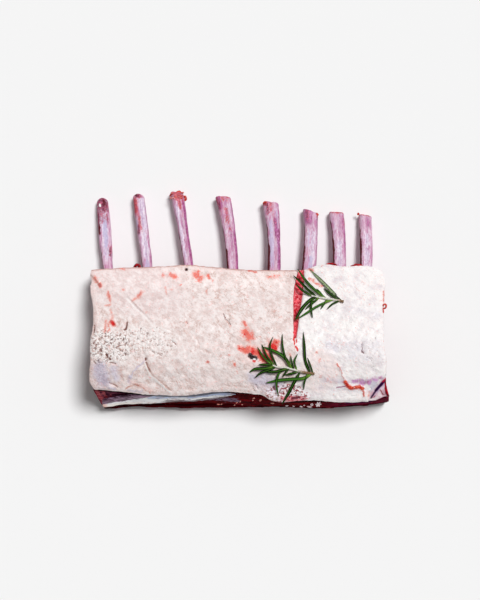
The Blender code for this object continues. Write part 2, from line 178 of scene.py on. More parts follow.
def ripple(x, y, size, seed):
    """Smooth random heights, -1 to 1: one at each corner of a square net, blended with ease between them."""
    corners = np.random.default_rng(seed).uniform(-1, 1, (97, 89))
    i, j = np.floor(x / size).astype(int), np.floor(y / size).astype(int)
    s, t = ease(x / size - i), ease(y / size - j)
    low, high = (mix(corners[i % 97, k % 89], corners[(i + 1) % 97, k % 89], s) for k in (j, j + 1))
    return mix(low, high, t)


def bell(away, width):
    """1 at no distance, fading as exp(-(distance / width)^2)."""
    return np.exp(-((away / width) ** 2))


def around(count):
    """Angles evenly round a full turn."""
    return np.linspace(0, 2 * np.pi, count, endpoint=False)


def ring(count, power):
    """Points round |across|^power + |up|^power = 1."""
    angle = around(count)
    radius = (np.abs(np.cos(angle)) ** power + np.abs(np.sin(angle)) ** power) ** (-1 / power)
    return radius * np.cos(angle), radius * np.sin(angle)


def wrapped(x, y, z, **marks):
    """A closed skin over rings of points: each joins the next, and each end closes on its middle."""
    rings = np.stack(np.broadcast_arrays(x, y, z), -1)
    count, sides = rings.shape[:2]
    index = np.arange(count * sides).reshape(count, sides)
    beside = np.roll(index, -1, 1)
    walls = np.stack([index[:-1], beside[:-1], beside[1:], index[1:]], -1).reshape(-1, 4)
    start, end = (np.stack([a, b, np.full(sides, count * sides + k)], -1)
                  for a, b, k in ((beside[0], index[0], 0), (index[-1], beside[-1], 1)))
    points = np.concatenate([rings.reshape(-1, 3), [rings[0].mean(0), rings[-1].mean(0)]])
    for name, value in marks.items():
        value = np.broadcast_to(value, index.shape)
        marks[name] = np.append(value.ravel(), [value[0].mean(), value[-1].mean()])
    return points, walls.tolist() + start.tolist() + end.tolist(), marks


def new_piece(name, skin, finish, slot, *nodes):
    """Makes a skin's points, faces and marks an object with its faces outwards, in place of CAD nodes."""
    points, faces, marks = skin
    mesh = bpy.data.meshes.new(name)
    mesh.from_pydata(points / 1000, [], faces)
    for mark, values in marks.items():
        mesh.attributes.new(mark, "FLOAT", "POINT").data.foreach_set("value", values.astype(np.float32))
    shell = bmesh.new()
    shell.from_mesh(mesh)
    bmesh.ops.recalc_face_normals(shell, faces=shell.faces[:])
    shell.to_mesh(mesh)
    shell.free()
    mesh.shade_smooth()
    mesh.materials.append(finish.material)
    piece = bpy.data.objects.new(name, mesh)
    bpy.context.scene.collection.objects.link(piece)
    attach(piece, "root")
    if nodes:
        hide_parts(*nodes)


CHINE_Y, BONE_START_Y = -82, -80.9
RIB_BED, RIB_ARCH, TIP_LIFT, HALF_RACK = 4.2, 34, 3, 97
HALF_THICK_AT_BLOCK, HALF_THICK_AT_TIP = 3.3, 4.2
RIBS = [
    # centre at the chine, block edge, middle, tip | reach | widths there | slant of the saw cut
    (-94, -100.2, -102.7, -105.3, 78.2, (9, 7.4, 10, 8.2), None),
    (-67.5, -70.2, -73.5, -77.8, 81.2, (9, 7.8, 8.6, 8.9), None),
    (-41, -38.8, -42.7, -48, 82.5, (9, 7.2, 8, 10.4), 0.1),
    (-14, -5.5, -7.9, -12.8, 79.2, (9, 8.8, 9.4, 11.7), 0.06),
    (13, 25.8, 25.6, 23.3, 75.4, (9.4, 9.8, 9.8, 12.4), 0.12),
    (40, 52.4, 53.9, 53.9, 70, (9.6, 11, 10.1, 11.5), 0.38),
    (66.5, 75.5, 75, 73.6, 67.4, (9.6, 10.3, 10.2, 11.7), 0.06),
    (93, 95.7, 96.1, 95.7, 65.4, (9.4, 9.6, 9.8, 10), 0.12),
]
rib_reach = curve([rib[3] for rib in RIBS], [rib[4] for rib in RIBS])

# What is left on each bone, and a painted highlight (white) on the first: from y, to y, middle across (-1 to
# 1), width across, strength
BONE_MARKS = [
    dict(bruise=[(66, 80, 0, 1.7, 1), (58, 68, -0.3, 0.9, 0.7), (49, 68, -0.85, 0.36, 1.1),
                 (57, 66, 0.6, 0.26, 0.9), (32, 41, 0.65, 0.28, 1)],
         dark=[(70, 78, 0.35, 0.5, 0.7), (49, 57, -0.8, 0.3, 0.8), (20, 38, -1, 0.17, 1)],
         blood=[(56, 70, -1, 0.3, 0.8), (36, 42, 0.85, 0.3, 0.8)], pale=[(30, 66, 0, 0.6, 1.3)],
         blue=[(40, 64, 0.15, 0.4, 1.3)], magenta=[(22, 40, 0.9, 0.25, 0.6)],
         # white: a painted highlight on the first bone's tip
         white=[(70.5, 74, -0.42, 0.2, 1)]),
    dict(blood=[(65, 78, -0.75, 0.5, 1.8), (51, 68, -0.3, 0.34, 1), (77, 84, 0.1, 0.7, 1.2)],
         bruise=[(50, 58, -0.6, 0.25, 1), (77.4, 84, -0.1, 0.9, 1), (50.3, 52.7, -0.75, 0.28, 1),
                 (57, 60, -0.2, 0.18, 0.8)], dark=[(78.4, 84, -0.5, 0.3, 1), (20, 38, -1, 0.16, 1)],
         blue=[(53, 61, -0.85, 0.3, 0.8), (22, 31, 0.1, 0.7, 1.1)],
         pale=[(54, 78, 0.5, 0.6, 1.5), (30, 54, 0.1, 0.7, 1.3)],
         magenta=[(22, 76, 1, 0.16, 1), (28, 36, 0.8, 0.25, 0.9)]),
    dict(blood=[(75, 86, 0, 1.6, 1.1), (69, 76, 0.15, 0.35, 1.2)],
         magenta=[(20, 78, 0.74, 0.26, 1.4), (20, 74, 1, 0.2, 1.1), (52, 66, 0, 0.3, 0.7),
                  (44, 72, -0.85, 0.3, 0.6)], pale=[(30, 74, -0.35, 0.45, 1)], dark=[(20, 52, -1, 0.15, 1)]),
    dict(blood=[(74, 84, 0.1, 1.4, 0.8), (57, 71, 0.05, 0.4, 0.95), (51.5, 54.5, 0.15, 0.22, 0.95)],
         magenta=[(68, 80, -0.6, 0.4, 1.3), (36, 58, 0.25, 0.4, 0.75), (20, 76, 1, 0.24, 1.2),
                  (20, 52, 0.8, 0.28, 1.4)], bruise=[(68, 77, -0.75, 0.25, 0.9), (66, 80, -0.95, 0.3, 0.8)],
         dark=[(20, 40, -1, 0.42, 1.3), (36, 58, -1, 0.17, 1)],
         pale=[(22, 40, -0.1, 0.5, 0.7), (56, 74, 0.6, 0.25, 0.7)]),
    dict(blood=[(71, 80, -0.8, 0.5, 1.8), (66, 76, -0.1, 0.42, 0.9), (53, 68, 0.2, 0.34, 0.5)],
         bruise=[(64, 75, -0.5, 0.3, 0.9)],
         magenta=[(46, 64, 0.4, 0.3, 1.4), (22, 54, 0.8, 0.3, 1.5), (38, 76, 1, 0.2, 1.2),
                  (20, 34, -0.3, 0.5, 0.5)], dark=[(20, 42, -1, 0.4, 1.3), (38, 58, -1, 0.18, 1.1)],
         blue=[(24, 62, -0.35, 0.45, 1), (24, 70, 0.6, 0.16, 1)]),
    dict(magenta=[(56, 70, -0.4, 0.7, 1.2), (52, 65, 0.85, 0.3, 0.8), (26, 60, 0.95, 0.2, 0.8)],
         bruise=[(60, 69, -0.5, 0.35, 0.8)],
         blood=[(62, 74, 1.05, 0.35, 1), (68.4, 74, -0.3, 1.2, 1), (42, 56, -0.95, 0.2, 0.7)],
         dark=[(20, 42, -1, 0.3, 1.3), (38, 58, -1, 0.16, 1)], pale=[(22, 54, 0.3, 0.6, 0.9)],
         blue=[(20, 34, 0, 0.6, 0.9), (38, 56, -0.3, 0.2, 0.8)]),
    dict(blood=[(65.6, 72, 0.2, 1.3, 1.5)], bruise=[(55, 65, 0.85, 0.24, 0.6)],
         magenta=[(48, 66, 0.6, 0.5, 0.8), (34, 54, 0.85, 0.26, 1.1)],
         dark=[(20, 46, -1, 0.3, 1.3), (38, 60, -1, 0.18, 1.1)],
         pale=[(22, 46, 0, 0.6, 1), (46, 62, -0.5, 0.4, 0.7)]),
    dict(blood=[(63.6, 72, 0, 1.5, 1.1), (45, 64, -0.97, 0.14, 0.6)],
         magenta=[(54, 65, 0.3, 0.7, 0.8), (26, 44, 1, 0.2, 1), (26, 44, 0.85, 0.2, 0.7)],
         dark=[(20, 48, -1, 0.3, 1.3), (42, 56, -1, 0.18, 1)], pale=[(22, 52, 0.1, 0.6, 1)]),
]


def rib_height(x, y):
    """The ribs' centre line: a parabola from the chine to the tips, whose far end is lifted at mid rack."""
    s = (y - CHINE_Y) / (rib_reach(x) - CHINE_Y)
    return RIB_BED + RIB_ARCH * s * (1 - s) + TIP_LIFT * (1 - (x / HALF_RACK) ** 2) * s * s


def rib_line(rib):
    """A rib's centre and half its width, each as a curve along Y."""
    places = (CHINE_Y, 25, 50, rib[4])
    return curve(places, rib[:4]), curve(places, np.array(rib[5]) / 2)


def bone_skin(number, rib):
    """A flattened ring, |across|^2.5 + |up|^2.5 = 1, carried along the rib's arch and closed at both ends."""
    centre, half = rib_line(rib)
    reach, slant = rib[4], rib[6]
    across, up = ring(44, 2.5)
    # The ring swells from the chine end, then shrinks to a round tip or closes on a sawn one
    rise = [0.3, 0.6, 0.88, 0.97]
    if slant is None:
        turn = np.linspace(0, np.pi / 2, 9)[1:-1]
        share = [0] * 4, np.linspace(0, 0.975, 116), 0.975 + 0.025 * np.sin(turn)
        swell = rise, np.ones(116), np.cos(turn)
    else:
        share = [0] * 4, np.linspace(0, 0.996, 120), [0.9985, 1, 1, 1, 1, 1]
        swell = rise, np.ones(120), [0.985, 0.93, 0.82, 0.64, 0.4, 0.18]
    share, swell = np.concatenate(share)[:, None], np.concatenate(swell)[:, None]
    y = mix(BONE_START_Y, reach, share)
    grain = 0.22 * ripple(across * 5 + 40 * number, y / 3, 1.1, 3)
    grain = grain + 0.3 * ripple(across * 3 + 9, y, 6, 5 + number)
    width = (half(y) + grain * 0.6) * swell
    thick = mix(HALF_THICK_AT_BLOCK, HALF_THICK_AT_TIP, ease((y - 50) / (reach - 50)))
    thick = (thick + grain * 0.5) * swell
    x = centre(y) + across * width
    z = rib_height(centre(y), y) + up * thick - 0.5 * bell(across, 0.35) * (up > 0) * swell
    cut = np.zeros_like(swell)
    if slant is not None:
        # The saw cut slants, its corners are worn and its face is rough
        tip = ease((share - 0.9) / 0.1)
        y = y - (slant * half(y) * (1 + across * swell) + 1.2 * np.abs(across * swell) ** 8) * tip
        y = y + 0.35 * ripple(x, z, 1.6, 20 + number) * (swell < 0.95) * (share > 0.9)
        cut = (swell < 0.9) & ((share > 0.99) | (share < 0.01))
    y = np.broadcast_to(y, x.shape)
    top = ease((up + 0.75) / 0.5)
    sides = ease((up + 0.15 + 0.3 * ripple(across * 3 + 2, y, 3, 60 + number)) / 0.4)
    drift = y + 1.2 * ripple(across * 3 + 5, y, 2.2, 40 + number)
    marks = {"end": cut, "under": 1 - top}
    for name in ("bruise", "blood", "pale", "magenta", "dark", "blue", "white"):
        over = sides if name in ("dark", "magenta") else top
        marks[name] = np.zeros_like(y)
        for low, high, middle, wide, strength in BONE_MARKS[number].get(name, ()):
            fade = min(8, (high - low) / 2)
            along = ease((drift - low) / fade + 0.5) * ease((high - drift) / fade + 0.5)
            smudge = strength * along * bell(across - middle, wide) * over
            marks[name] = np.maximum(marks[name], smudge)
    return wrapped(x, y, z, **marks)


bone = Finish("scraped_bone", Specular_IOR_Level=0.06, Coat_Roughness=0.12, Coat_Weight=0.06)
streak = bone.noise(0.8, (1, 10, 1), detail=4, rough=0.6, warp=0.5)
smear = bone.noise(2.2, (1, 3.5, 1), detail=5, rough=0.65)
fleck = bone.noise(1.1, (1, 1.5, 1), rough=0.65)
speck = bone.noise(0.6, (1, 1.3, 1), rough=0.6)
smeared, grained = streak * 0.5 + smear * 0.5, fleck * 0.6 + streak * 0.4
streaked, dotted = streak * 0.7 + fleck * 0.3, fleck * 0.5 + speck * 0.5
bone.coat(1, (200, 136, 172), (224, 200, 218), smeared, 0.4)
bone.coat(smear.step(0.54, 0.64) * 0.6, (200, 104, 140))
bone.coat((fleck * 0.5 + streak * 0.5).step(0.55, 0.66) * 0.5, (243, 232, 241))
bone.coat(bone.patchy("pale", smeared, 2.8, 0.6) * 0.85, (204, 182, 212), (240, 230, 242),
          streak * 0.6 + fleck * 0.4, 0.4, 0.6)
bone.coat(bone.patchy("blue", smear, 1.6, 0.5) * 0.6, (190, 186, 220))
bone.coat(bone.patchy("magenta", streaked, 4.2, 0.7) * 0.85, (136, 30, 98), (190, 98, 160), fleck, 0.42, 0.6)
bone.coat(grained.step(0.42, 0.34) * 0.45, (176, 92, 140))
bone.coat(grained.step(0.58, 0.66) * 0.5, (248, 240, 246))
bone.coat(bone.patchy("blood", streak * 0.5 + speck * 0.5, 4.2, 0.7) * 0.9, (150, 10, 28), (222, 96, 104),
          dotted, 0.4, 0.6)
bone.coat(bone.patchy("bruise", dotted, 3.6, 0.4) * 0.95, (58, 0, 34), (218, 110, 140),
          fleck * 0.4 + speck * 0.6, 0.45, 0.6)
bone.coat(bone.patchy("dark", streaked, 2.4, 0.4) * 0.97, (92, 4, 16))
# Painted highlight where the white mark lies
bone.coat(bone.mark("white").step(0.3, 0.6), (250, 244, 246))
bone.coat(bone.mark("end"), (168, 48, 60), (224, 168, 170), smear)
bone.coat(bone.mark("under") * 0.35, (190, 130, 142))
bone.show(0.36 + fleck * 0.25, streak * 0.5 + fleck * 0.5, 0.45)

for number, rib in enumerate(RIBS):
    new_piece(f"bone_{number + 1}", bone_skin(number, rib), bone, "bone", f"rib_{number + 1}")


# The rib meat. The sheet of muscle that ties the ribs together, trimmed flush with the block. A thin silvery
# skin covers its underside, and it lies on the table along the chine.
def finer(count):
    """Shares from 0 to 1, even across the middle and closer together at both ends."""
    rim = np.array([0, 0.003, 0.008, 0.014])
    return np.concatenate([rim, np.linspace(rim[-1], 1 - rim[-1], count)[1:-1], 1 - rim[::-1]])


def block_skin(u, v, w, place, mark=lambda *_: {}):
    """The outer faces of a block cut at the shares u, v and w of its sides, each point carried by place."""
    index = np.zeros((len(u), len(v), len(w)), int)
    outer = np.ones(index.shape, bool)
    outer[1:-1, 1:-1, 1:-1] = False
    index[outer] = np.arange(outer.sum())
    shares = [side[outer] for side in np.meshgrid(u, v, w, indexing="ij")]
    sides = [index[0], index[-1], index[:, 0], index[:, -1], index[:, :, 0], index[:, :, -1]]
    faces = [np.stack([s[:-1, :-1], s[1:, :-1], s[1:, 1:], s[:-1, 1:]], -1).reshape(-1, 4) for s in sides]
    x, y, z = place(*shares)
    return np.stack([x, y, z], -1), np.concatenate(faces).tolist(), mark(*shares, x, y, z)


def plan(u, v, left, right, near, far):
    """The point at shares u along and v across an outline with four curved edges."""
    x = mix(left(0), right(0), u)
    y = mix(near(x), far(x), v)
    return mix(left(y), right(y), u), y


meat_left = curve_through(
    -82.5, -103.2, -76, -106, -69, -108.5, -60, -108.6, -31, -108.2, -6, -107.6, 10, -110, 24, -110.4)
meat_right = curve_through(
    -82, 110.6, -76, 112.2, -70, 109.6, -64, 107.9, -57, 107.6, -50, 106.6, -28, 104.8, 0, 106.4, 24, 106.6)
meat_chine_edge = curve_through(
    -106, -82.5, -88, -81.2, -50, -81.8, 0, -81.5, 32, -81.2, 58, -82.4, 72, -81.4, 94, -79.6, 112, -76.8)
fat_rib_edge = curve_through(
    -112, 22.6, -97, 23.6, -52, 25.5, -38, 26.4, -22, 25.1, 0, 22.9, 34, 22.4, 46, 22.6, 58, 26.2, 80, 25.2,
    99, 24.9, 108, 22)
OVER_RIBS, RIB_ROOM, THIN_SKIN = 4.6, 3.9, 0.3


def over_ribs(x, y):
    """The top of the meat round the ribs, at an even height over their centre line."""
    return rib_height(x, y) + OVER_RIBS


def cover_of_ribs(x, y):
    """How far the underside clears the ribs' centre line: half a ring over each rib, a thin skin between."""
    clear = np.full_like(y, THIN_SKIN)
    for rib in RIBS:
        centre, half = rib_line(rib)
        off = np.clip(np.abs(x - centre(y)) / (half(y) + 0.6), 0, 1)
        clear = np.maximum(clear, RIB_ROOM * np.sqrt(1 - off**2))
    return clear


def place_rib_meat(u, v, w):
    """From its channelled underside to its top, with bulging edges, and down to the table along the chine."""
    x, y = plan(u, v, meat_left, meat_right, meat_chine_edge, lambda x: fat_rib_edge(x) - 1)
    cover = cover_of_ribs(x, y)
    low = (rib_height(x, y) + cover) * np.where(cover < THIN_SKIN + 0.05, ease((v - 0.15) / 0.08), 1)
    z = mix(low, over_ribs(x, y), w)
    bulge, rim = np.sin(np.pi * w), 2 * v - 1
    return x, y + bulge * (0.5 * rim**15 + 0.35 * ripple(x, z, 3.5, 31) * (np.abs(rim) > 0.999)), z


raw = Finish("rib_meat", Specular_IOR_Level=0)
grain = raw.noise(1.6, (6, 1, 1), detail=4)
patch = raw.noise(7, detail=4, rough=0.6)
raw.coat(1, (46, 5, 10), (98, 14, 22), grain, 0.35, 0.7)
raw.coat(patch.step(0.64, 0.7) * 0.6, (190, 104, 106))
raw.coat(raw.mark("under") * 0.85, (168, 74, 82), (206, 166, 174), patch, 0.35, 0.65)
raw.show(0.5 + grain * 0.25, grain * 0.7 + patch * 0.3, 0.5)
layers = np.linspace(0, 1, 5)
meat = block_skin(finer(260), finer(60), layers, place_rib_meat, lambda u, v, w, *_: {"under": w < 0.01})
new_piece("meat_round_ribs", meat, raw, "lean", "rib_meat")


# The eye muscle. The long round loin, the best of the meat. It shows as dark raw muscle along the chine,
# under a torn film, and as a fine-grained oval with white marbling at the two cut ends.
fat_chine_edge = curve_through(
    -106, -66, -92, -67.2, -71, -69.5, -31, -69.8, -17, -67.8, 11, -68.8, 22, -70.4, 29, -73.6, 62, -74.2,
    98, -75.6, 108, -75)
skin_profile = curve_through(
    -84, 31, -76, 40, -70, 44, -60, 49, -46, 52, -28, 49.5, -8, 42, 10, 34.5, 27, 28.4)
fat_thickness = curve_through(-80, 5, -46, 5.6, 0, 4.8, 27, 4.2)
cap_thickness = curve_through(-112, 3, 20, 4, 112, 5.2)
eye_reach = curve_through(-112, -13, 112, -21)
EYE_CROWN_Y, SEAM_START_Y = -44, -31
END_DROP, HALF_BLOCK = 2, 111
FACE_FOOT_IN, FACE_TOP_IN, FACE_LEAN = 0.4, 2.4, 1.7


def skin(x, y):
    """The smooth top of the fat: its profile across the block, lower towards both ends."""
    return skin_profile(y) - END_DROP * (x / HALF_BLOCK) ** 4


def under_fat(x, y):
    """The top of the cap muscle: the skin less the thickness of the fat."""
    return skin(x, y) - fat_thickness(y)


def under_cap(x, y):
    """The top of the eye: less the thickness of the cap muscle too, which thins towards the rib tips."""
    return under_fat(x, y) - cap_thickness(x) * mix(1, 0.72, ease((y + 15) / 40))


def eye_top(x, y):
    """Follows the cap, then falls to the ribs as a quarter of an ellipse, cut blunt."""
    t = np.clip((y - EYE_CROWN_Y) / (eye_reach(x) - EYE_CROWN_Y), 0, 0.985)
    return mix(over_ribs(x, y), under_cap(x, y), np.sqrt(1 - t * t))


def chine_face(x, z):
    """Y of the muscle's chine side at height z: it leans in from the ribs up to the fat's edge."""
    foot = over_ribs(x, CHINE_Y)
    share = np.clip((z - foot) / (under_cap(x, fat_chine_edge(x)) - foot), 0, 1)
    return mix(meat_chine_edge(x) + FACE_FOOT_IN, fat_chine_edge(x) + FACE_TOP_IN, share**FACE_LEAN)


def sinew_bed(x):
    """How deep the muscle gives way to the sinew: fully at the loin end, not at all past its tip."""
    return 2.3 * (1 - ease((x + 22) / 30))


def bent(share, start, bend, end):
    """Runs from start to bend in the first half of the share, and on to end in the second."""
    return np.where(share < 0.5, mix(start, bend, 2 * share), mix(bend, end, 2 * share - 1))


def at_ends(u):
    """Whether a point is on one of the two cut ends."""
    return np.abs(2 * u - 1) > 0.995


def end_swell(u, y, z, seed):
    """Cut ends aren't quite flat: soft layers stand a little proud of the saw's plane."""
    return 0.5 * ripple(y, z, 6, seed) * np.sign(2 * u - 1) * at_ends(u)


def strokes(x, y, *lines):
    """Each line's strength along it, fading as bell does. A line is its width, strength, x, y, x, y on."""
    total = np.zeros_like(x)
    for width, strength, *at in lines:
        for ax, ay, bx, by in zip(at[::2], at[1::2], at[2::2] or at[:1], at[3::2] or at[1:]):
            long = max((bx - ax) ** 2 + (by - ay) ** 2, 1e-9)
            t = np.clip(((x - ax) * (bx - ax) + (y - ay) * (by - ay)) / long, 0, 1)
            away = (x - mix(ax, bx, t)) ** 2 + (y - mix(ay, by, t)) ** 2
            total = np.maximum(total, strength * np.exp(-away / width**2))
    return total


def place_eye(u, v, w):
    """From the lumpy chine face, hollowed for the sinew, to the eye's reach, and from the ribs to its top."""
    x = mix(meat_left(0), meat_right(0), u)
    z_face = mix(over_ribs(x, CHINE_Y), under_cap(x, fat_chine_edge(x)), w)
    lumps = 0.45 * ripple(x, z_face, 9, 41) + 0.25 * ripple(x, z_face, 3, 42)
    y = bent(v, chine_face(x, z_face) + sinew_bed(x) + np.abs(lumps), SEAM_START_Y, eye_reach(x))
    x = mix(meat_left(y), meat_right(y), u)
    z = mix(over_ribs(x, y) + 0.5, eye_top(x, y) - 0.5, w)
    return x + end_swell(u, y, z, 43), y, z


def painted_shadow_under_fat_edge(x, y):
    """1 in the painted shadow line just outside the fat's overhanging edge, 0 on both sides of it."""
    past = y - fat_chine_edge(x)
    return ease((past + 2.3) / 0.9) * ease((0.9 - past) / 1.2)


def mark_eye(u, v, w, x, y, z):
    """The cut ends, the bluer loin and shoulder ends of the side, the painted shadow under the fat's lip, and
    lines of stain.
    """
    return {
        "end": at_ends(u), "shoulder": ease((x - 55) / 25), "loin": ease((-66 - x) / 24),
        "lip": painted_shadow_under_fat_edge(x, y) * (1 - 0.8 * ease((x - 66) / 20)),
        "seam": strokes(x, z, (2.6, 0.9, 20, 36, 64, 33, 104, 31)),
        "silver": strokes(x, y, (2.2, 1, -19, -73.4, -12, -74.2, -2, -75.8),
                          (1.2, 0.8, -24, -75, -14, -73.6)),
        "red": strokes(x, y, (2.2, 1.2, -107, -67, -105, -72, -102.5, -77, -101, -79.6),
                       (1.8, 1, -102, -68, -100.4, -73.6, -99.4, -76), (0.9, 0.9, -96.8, -70.6, -96.6, -73)),
        "plum": strokes(x, y, (1.8, 1.1, 80, -77, 90, -76.4, 98, -75.6))}


eye = Finish("eye_muscle", Specular_IOR_Level=0, Coat_Roughness=0.12, Coat_Weight=0.03)
fibre = eye.noise(0.9, (7, 1, 1), detail=4, rough=0.65)
pool = eye.noise(5, (2.5, 1, 1), detail=5, rough=0.65)
glint = eye.noise(1.6, (1.8, 1, 1), rough=0.6)
mixed, clouded = fibre * 0.5 + glint * 0.5, glint * 0.5 + pool * 0.5
eye.coat(1, (30, 1, 4), (116, 6, 12), fibre, 0.36, 0.64)
eye.coat(pool.step(0.52, 0.6) * 0.6, (150, 8, 18))
eye.coat(eye.mark("shoulder") * 0.85, (58, 0, 22), (156, 0, 62), mixed, 0.4, 0.62)
eye.coat(eye.patchy("loin", pool, 1.2) * 0.95, (66, 20, 46), (156, 80, 104), clouded, 0.42, 0.6)
eye.coat(eye.patchy("silver", glint * 0.4 + fibre * 0.6, 3.4, 0.5) * 0.75, (88, 52, 84), (190, 172, 200),
         fibre * 0.6 + glint * 0.4, 0.42, 0.6)
eye.coat(eye.patchy("red", glint, 1.8, 0.5) * 0.92, (172, 40, 58), (230, 124, 132), fibre, 0.4, 0.6)
eye.coat(eye.patchy("plum", glint, 1.6, 0.8) * 0.8, (70, 26, 92))
eye.coat(eye.patchy("seam", clouded, 3.4, 0.3) * 0.8, (176, 12, 26))
eye.coat(glint.step(0.66, 0.72) * 0.7, (206, 96, 96))
# Painted shadow under the fat's overhanging edge, where the lip mark lies
eye.coat(eye.mark("lip") * 0.85, (14, 1, 4))
cut = eye.tint(eye.noise(1.1, detail=2).step(0.35, 0.65), (112, 18, 28), (150, 38, 44))
marbling = eye.noise(2.6, detail=4, rough=0.6, warp=0.5).step(0.56, 0.66)
eye.coat(eye.mark("end"), eye.tint(marbling * 0.5, cut, (216, 150, 144)))
eye.show(0.42 + fibre * 0.25, mixed, 0.6)
muscle = block_skin(finer(200), finer(60), np.linspace(0, 1, 26), place_eye, mark_eye)
new_piece("loin_eye", muscle, eye, "lean", "eye_muscle")


# The sinew. A flat silver-white ligament along the chine side, low at the loin end, which rises and thins
# away. Its upper edge is dusky under the fat at the loin end, and its lower edge frays into the lean.
sinew_top = curve_through(
    -104, 23.8, -90, 26.8, -78, 29.9, -67, 33, -55, 33.9, -30, 33.2, -13, 33.2, -3, 33.4)
sinew_low = curve_through(
    -104, 12.4, -96, 13.4, -88, 15.2, -78, 16.6, -67, 18.8, -55, 21.4, -45, 23, -30, 24, -13, 27.4, -3, 30.4)
sinew_light = curve_through(
    -104, 18.2, -97, 19.4, -90, 21.2, -83, 23.4, -76, 25.8, -68, 28.4, -60, 31, -50, 36)
SINEW_START_X, SINEW_TIP_X = -103.6, -3


def sinew_skin():
    """A flat ring, |up|^5 + |out|^5 = 1, carried along the chine face and tapered at its far end."""
    share = np.linspace(0, 1, 260)[:, None]
    out, high = ring(96, 5)
    x = mix(SINEW_START_X, SINEW_TIP_X, share)
    taper = ease((1 - share) / 0.12 + 0.1) * ease(share / 0.02 + 0.5)
    half = (sinew_top(x) - sinew_low(x)) / 2 * taper * (1 + 0.06 * ripple(x, x * 0, 6, 51))
    z = (sinew_top(x) + sinew_low(x)) / 2 + half * high + 0.3 * ripple(x, x * 0, 9, 53) * ease(share / 0.1)
    fluting = 0.35 * ripple(x * 0.2, z + x * 0.04, 1.8, 52) + 0.25 * ripple(x * 0.3, z, 0.9, 54)
    fluting = fluting + 0.8 * ease((-96 - x) / 8 + 0.6) * ease((19 - z) / 5)
    depth = 0.8 * ease((1 - share) / 0.1 + 0.15)
    y = chine_face(x, z) + sinew_bed(x) - 1.3 - (depth + fluting * (out > 0)) * out
    # The lip mark is a painted shadow under the fat's overhanging edge
    return wrapped(
        x, y, z, blue=ease((high + 0.5) / 0.8) * ease((share - 0.28) / 0.1), lip=1.2 * painted_shadow_under_fat_edge(x, y),
        shade=1.5 * ease((z - sinew_light(x)) / 3.4 + 0.5), tip=ease((0.05 - share) / 0.04),
        low=ease((0.3 - high) / 0.8) * ease((0.42 - share) / 0.2),
        frayed=ease((-0.1 - high) / 0.6) * ease((share - 0.34) / 0.2))


# Painted light: the sinew glows a little with its own colour, which brightens its steep face turned from the
# lamp
sinew = Finish("silver_sinew", Specular_IOR_Level=0.3, Emission_Strength=0.18, Coat_Roughness=0.15,
               Coat_Weight=0.15)
strand = sinew.noise(1.1, (8, 1, 1), detail=4, rough=0.65)
cloud = sinew.noise(6, (2.5, 1, 1), detail=4)
fleck = sinew.noise(1.5, (3, 1, 1))
combed = strand * 0.6 + fleck * 0.4
sinew.coat(1, (196, 192, 212), (255, 255, 255), strand, 0.32, 0.5)
sinew.coat(sinew.patchy("blue", cloud * 0.6 + strand * 0.4, 2.6, 0.6) * 0.8, (166, 186, 228))
sinew.coat(sinew.patchy("low", cloud, 1.4, 0.5) * 0.7, (255, 244, 234))
sinew.coat((cloud * 0.5 + fleck * 0.5).step(0.54, 0.62) * 0.5, (206, 166, 150))
sinew.coat(sinew.mark("tip") * 0.6, (236, 160, 140))
sinew.coat(combed.step(0.44, 0.37) * 0.8, (92, 64, 96))
sinew.coat(sinew.patchy("shade", cloud * 0.5 + strand * 0.5, 2.2, 0.7), (60, 18, 42), (166, 128, 158),
           combed, 0.42, 0.6)
sinew.coat(sinew.patchy("frayed", strand, 4, 0.3) * 0.9, (70, 12, 24))
# Painted shadow under the fat's overhanging edge
sinew.coat(sinew.patchy("lip", fleck, 1.2, 0.5) * 0.8, (16, 4, 14))
sinew.show(0.4 + strand * 0.2, strand, 0.5, glow=sinew.colour)
new_piece("chine_sinew", sinew_skin(), sinew, "sinew", "sinew_band")


# The seam fat. The soft wedge of fat between the eye muscle, the cap and the ribs, seen at the two ends.
# Thin red veins run through it.
def place_seam(u, v, w):
    """Over the eye and then over the ribs, up to the cap muscle."""
    x = mix(meat_left(0), meat_right(0), u)
    y = bent(v, SEAM_START_Y, eye_reach(x) + 0.5, fat_rib_edge(x) - 1.2)
    x = mix(meat_left(y), meat_right(y), u)
    low = np.where(v > 0.5, over_ribs(x, y), eye_top(x, y)) + 0.5
    z = mix(low, under_cap(x, y) - 0.7, w)
    return x + end_swell(u, y, z, 44), y, z


suet = Finish("seam_fat", Specular_IOR_Level=0.1)
curd = suet.noise(3.5, detail=5, rough=0.65)
suet.coat(1, (222, 192, 184), (243, 230, 224), curd, 0.35, 0.65)
suet.coat(suet.noise(6, (1, 3, 1), detail=4, warp=0.8).step(0.62, 0.7) * 0.7, (176, 72, 76))
suet.show(0.42 + curd * 0.15, curd, 0.8)
# The share just past a half keeps the wedge's step down to the ribs sharp.
across = np.unique(np.append(np.linspace(0, 1, 31), 0.501))
wedge = block_skin(finer(120), across, np.linspace(0, 1, 7), place_seam)
new_piece("seam_suet", wedge, suet, "fat", "seam_fat")


# The cap muscle. A thin sheet of lean under the fat. At the shoulder end its corner is bare and folded up,
# with a lilac film on it, a dark groove behind and a raw red rim.
flap_edge = curve_through(90, -74.2, 96, -73.8, 101, -71.8, 106, -71, 109, -72.6, 112.4, -75.6)
FLAP_GROOVE = (106.2, -59.4, 104.8, -61.2, 102.2, -64.2, 100.2, -66.9, 98.8, -69.2, 97, -72.4)
FLAP_RIM = (108.2, -58, 107.4, -61.6, 107.2, -65, 108, -68.2, 109.6, -71.2, 110.9, -74)


def cap_near(x):
    """The chine edge: under the edge of the fat, and along the flap at the shoulder end."""
    return mix(fat_chine_edge(x) + 1.2, flap_edge(x), ease((x - 88) / 8))


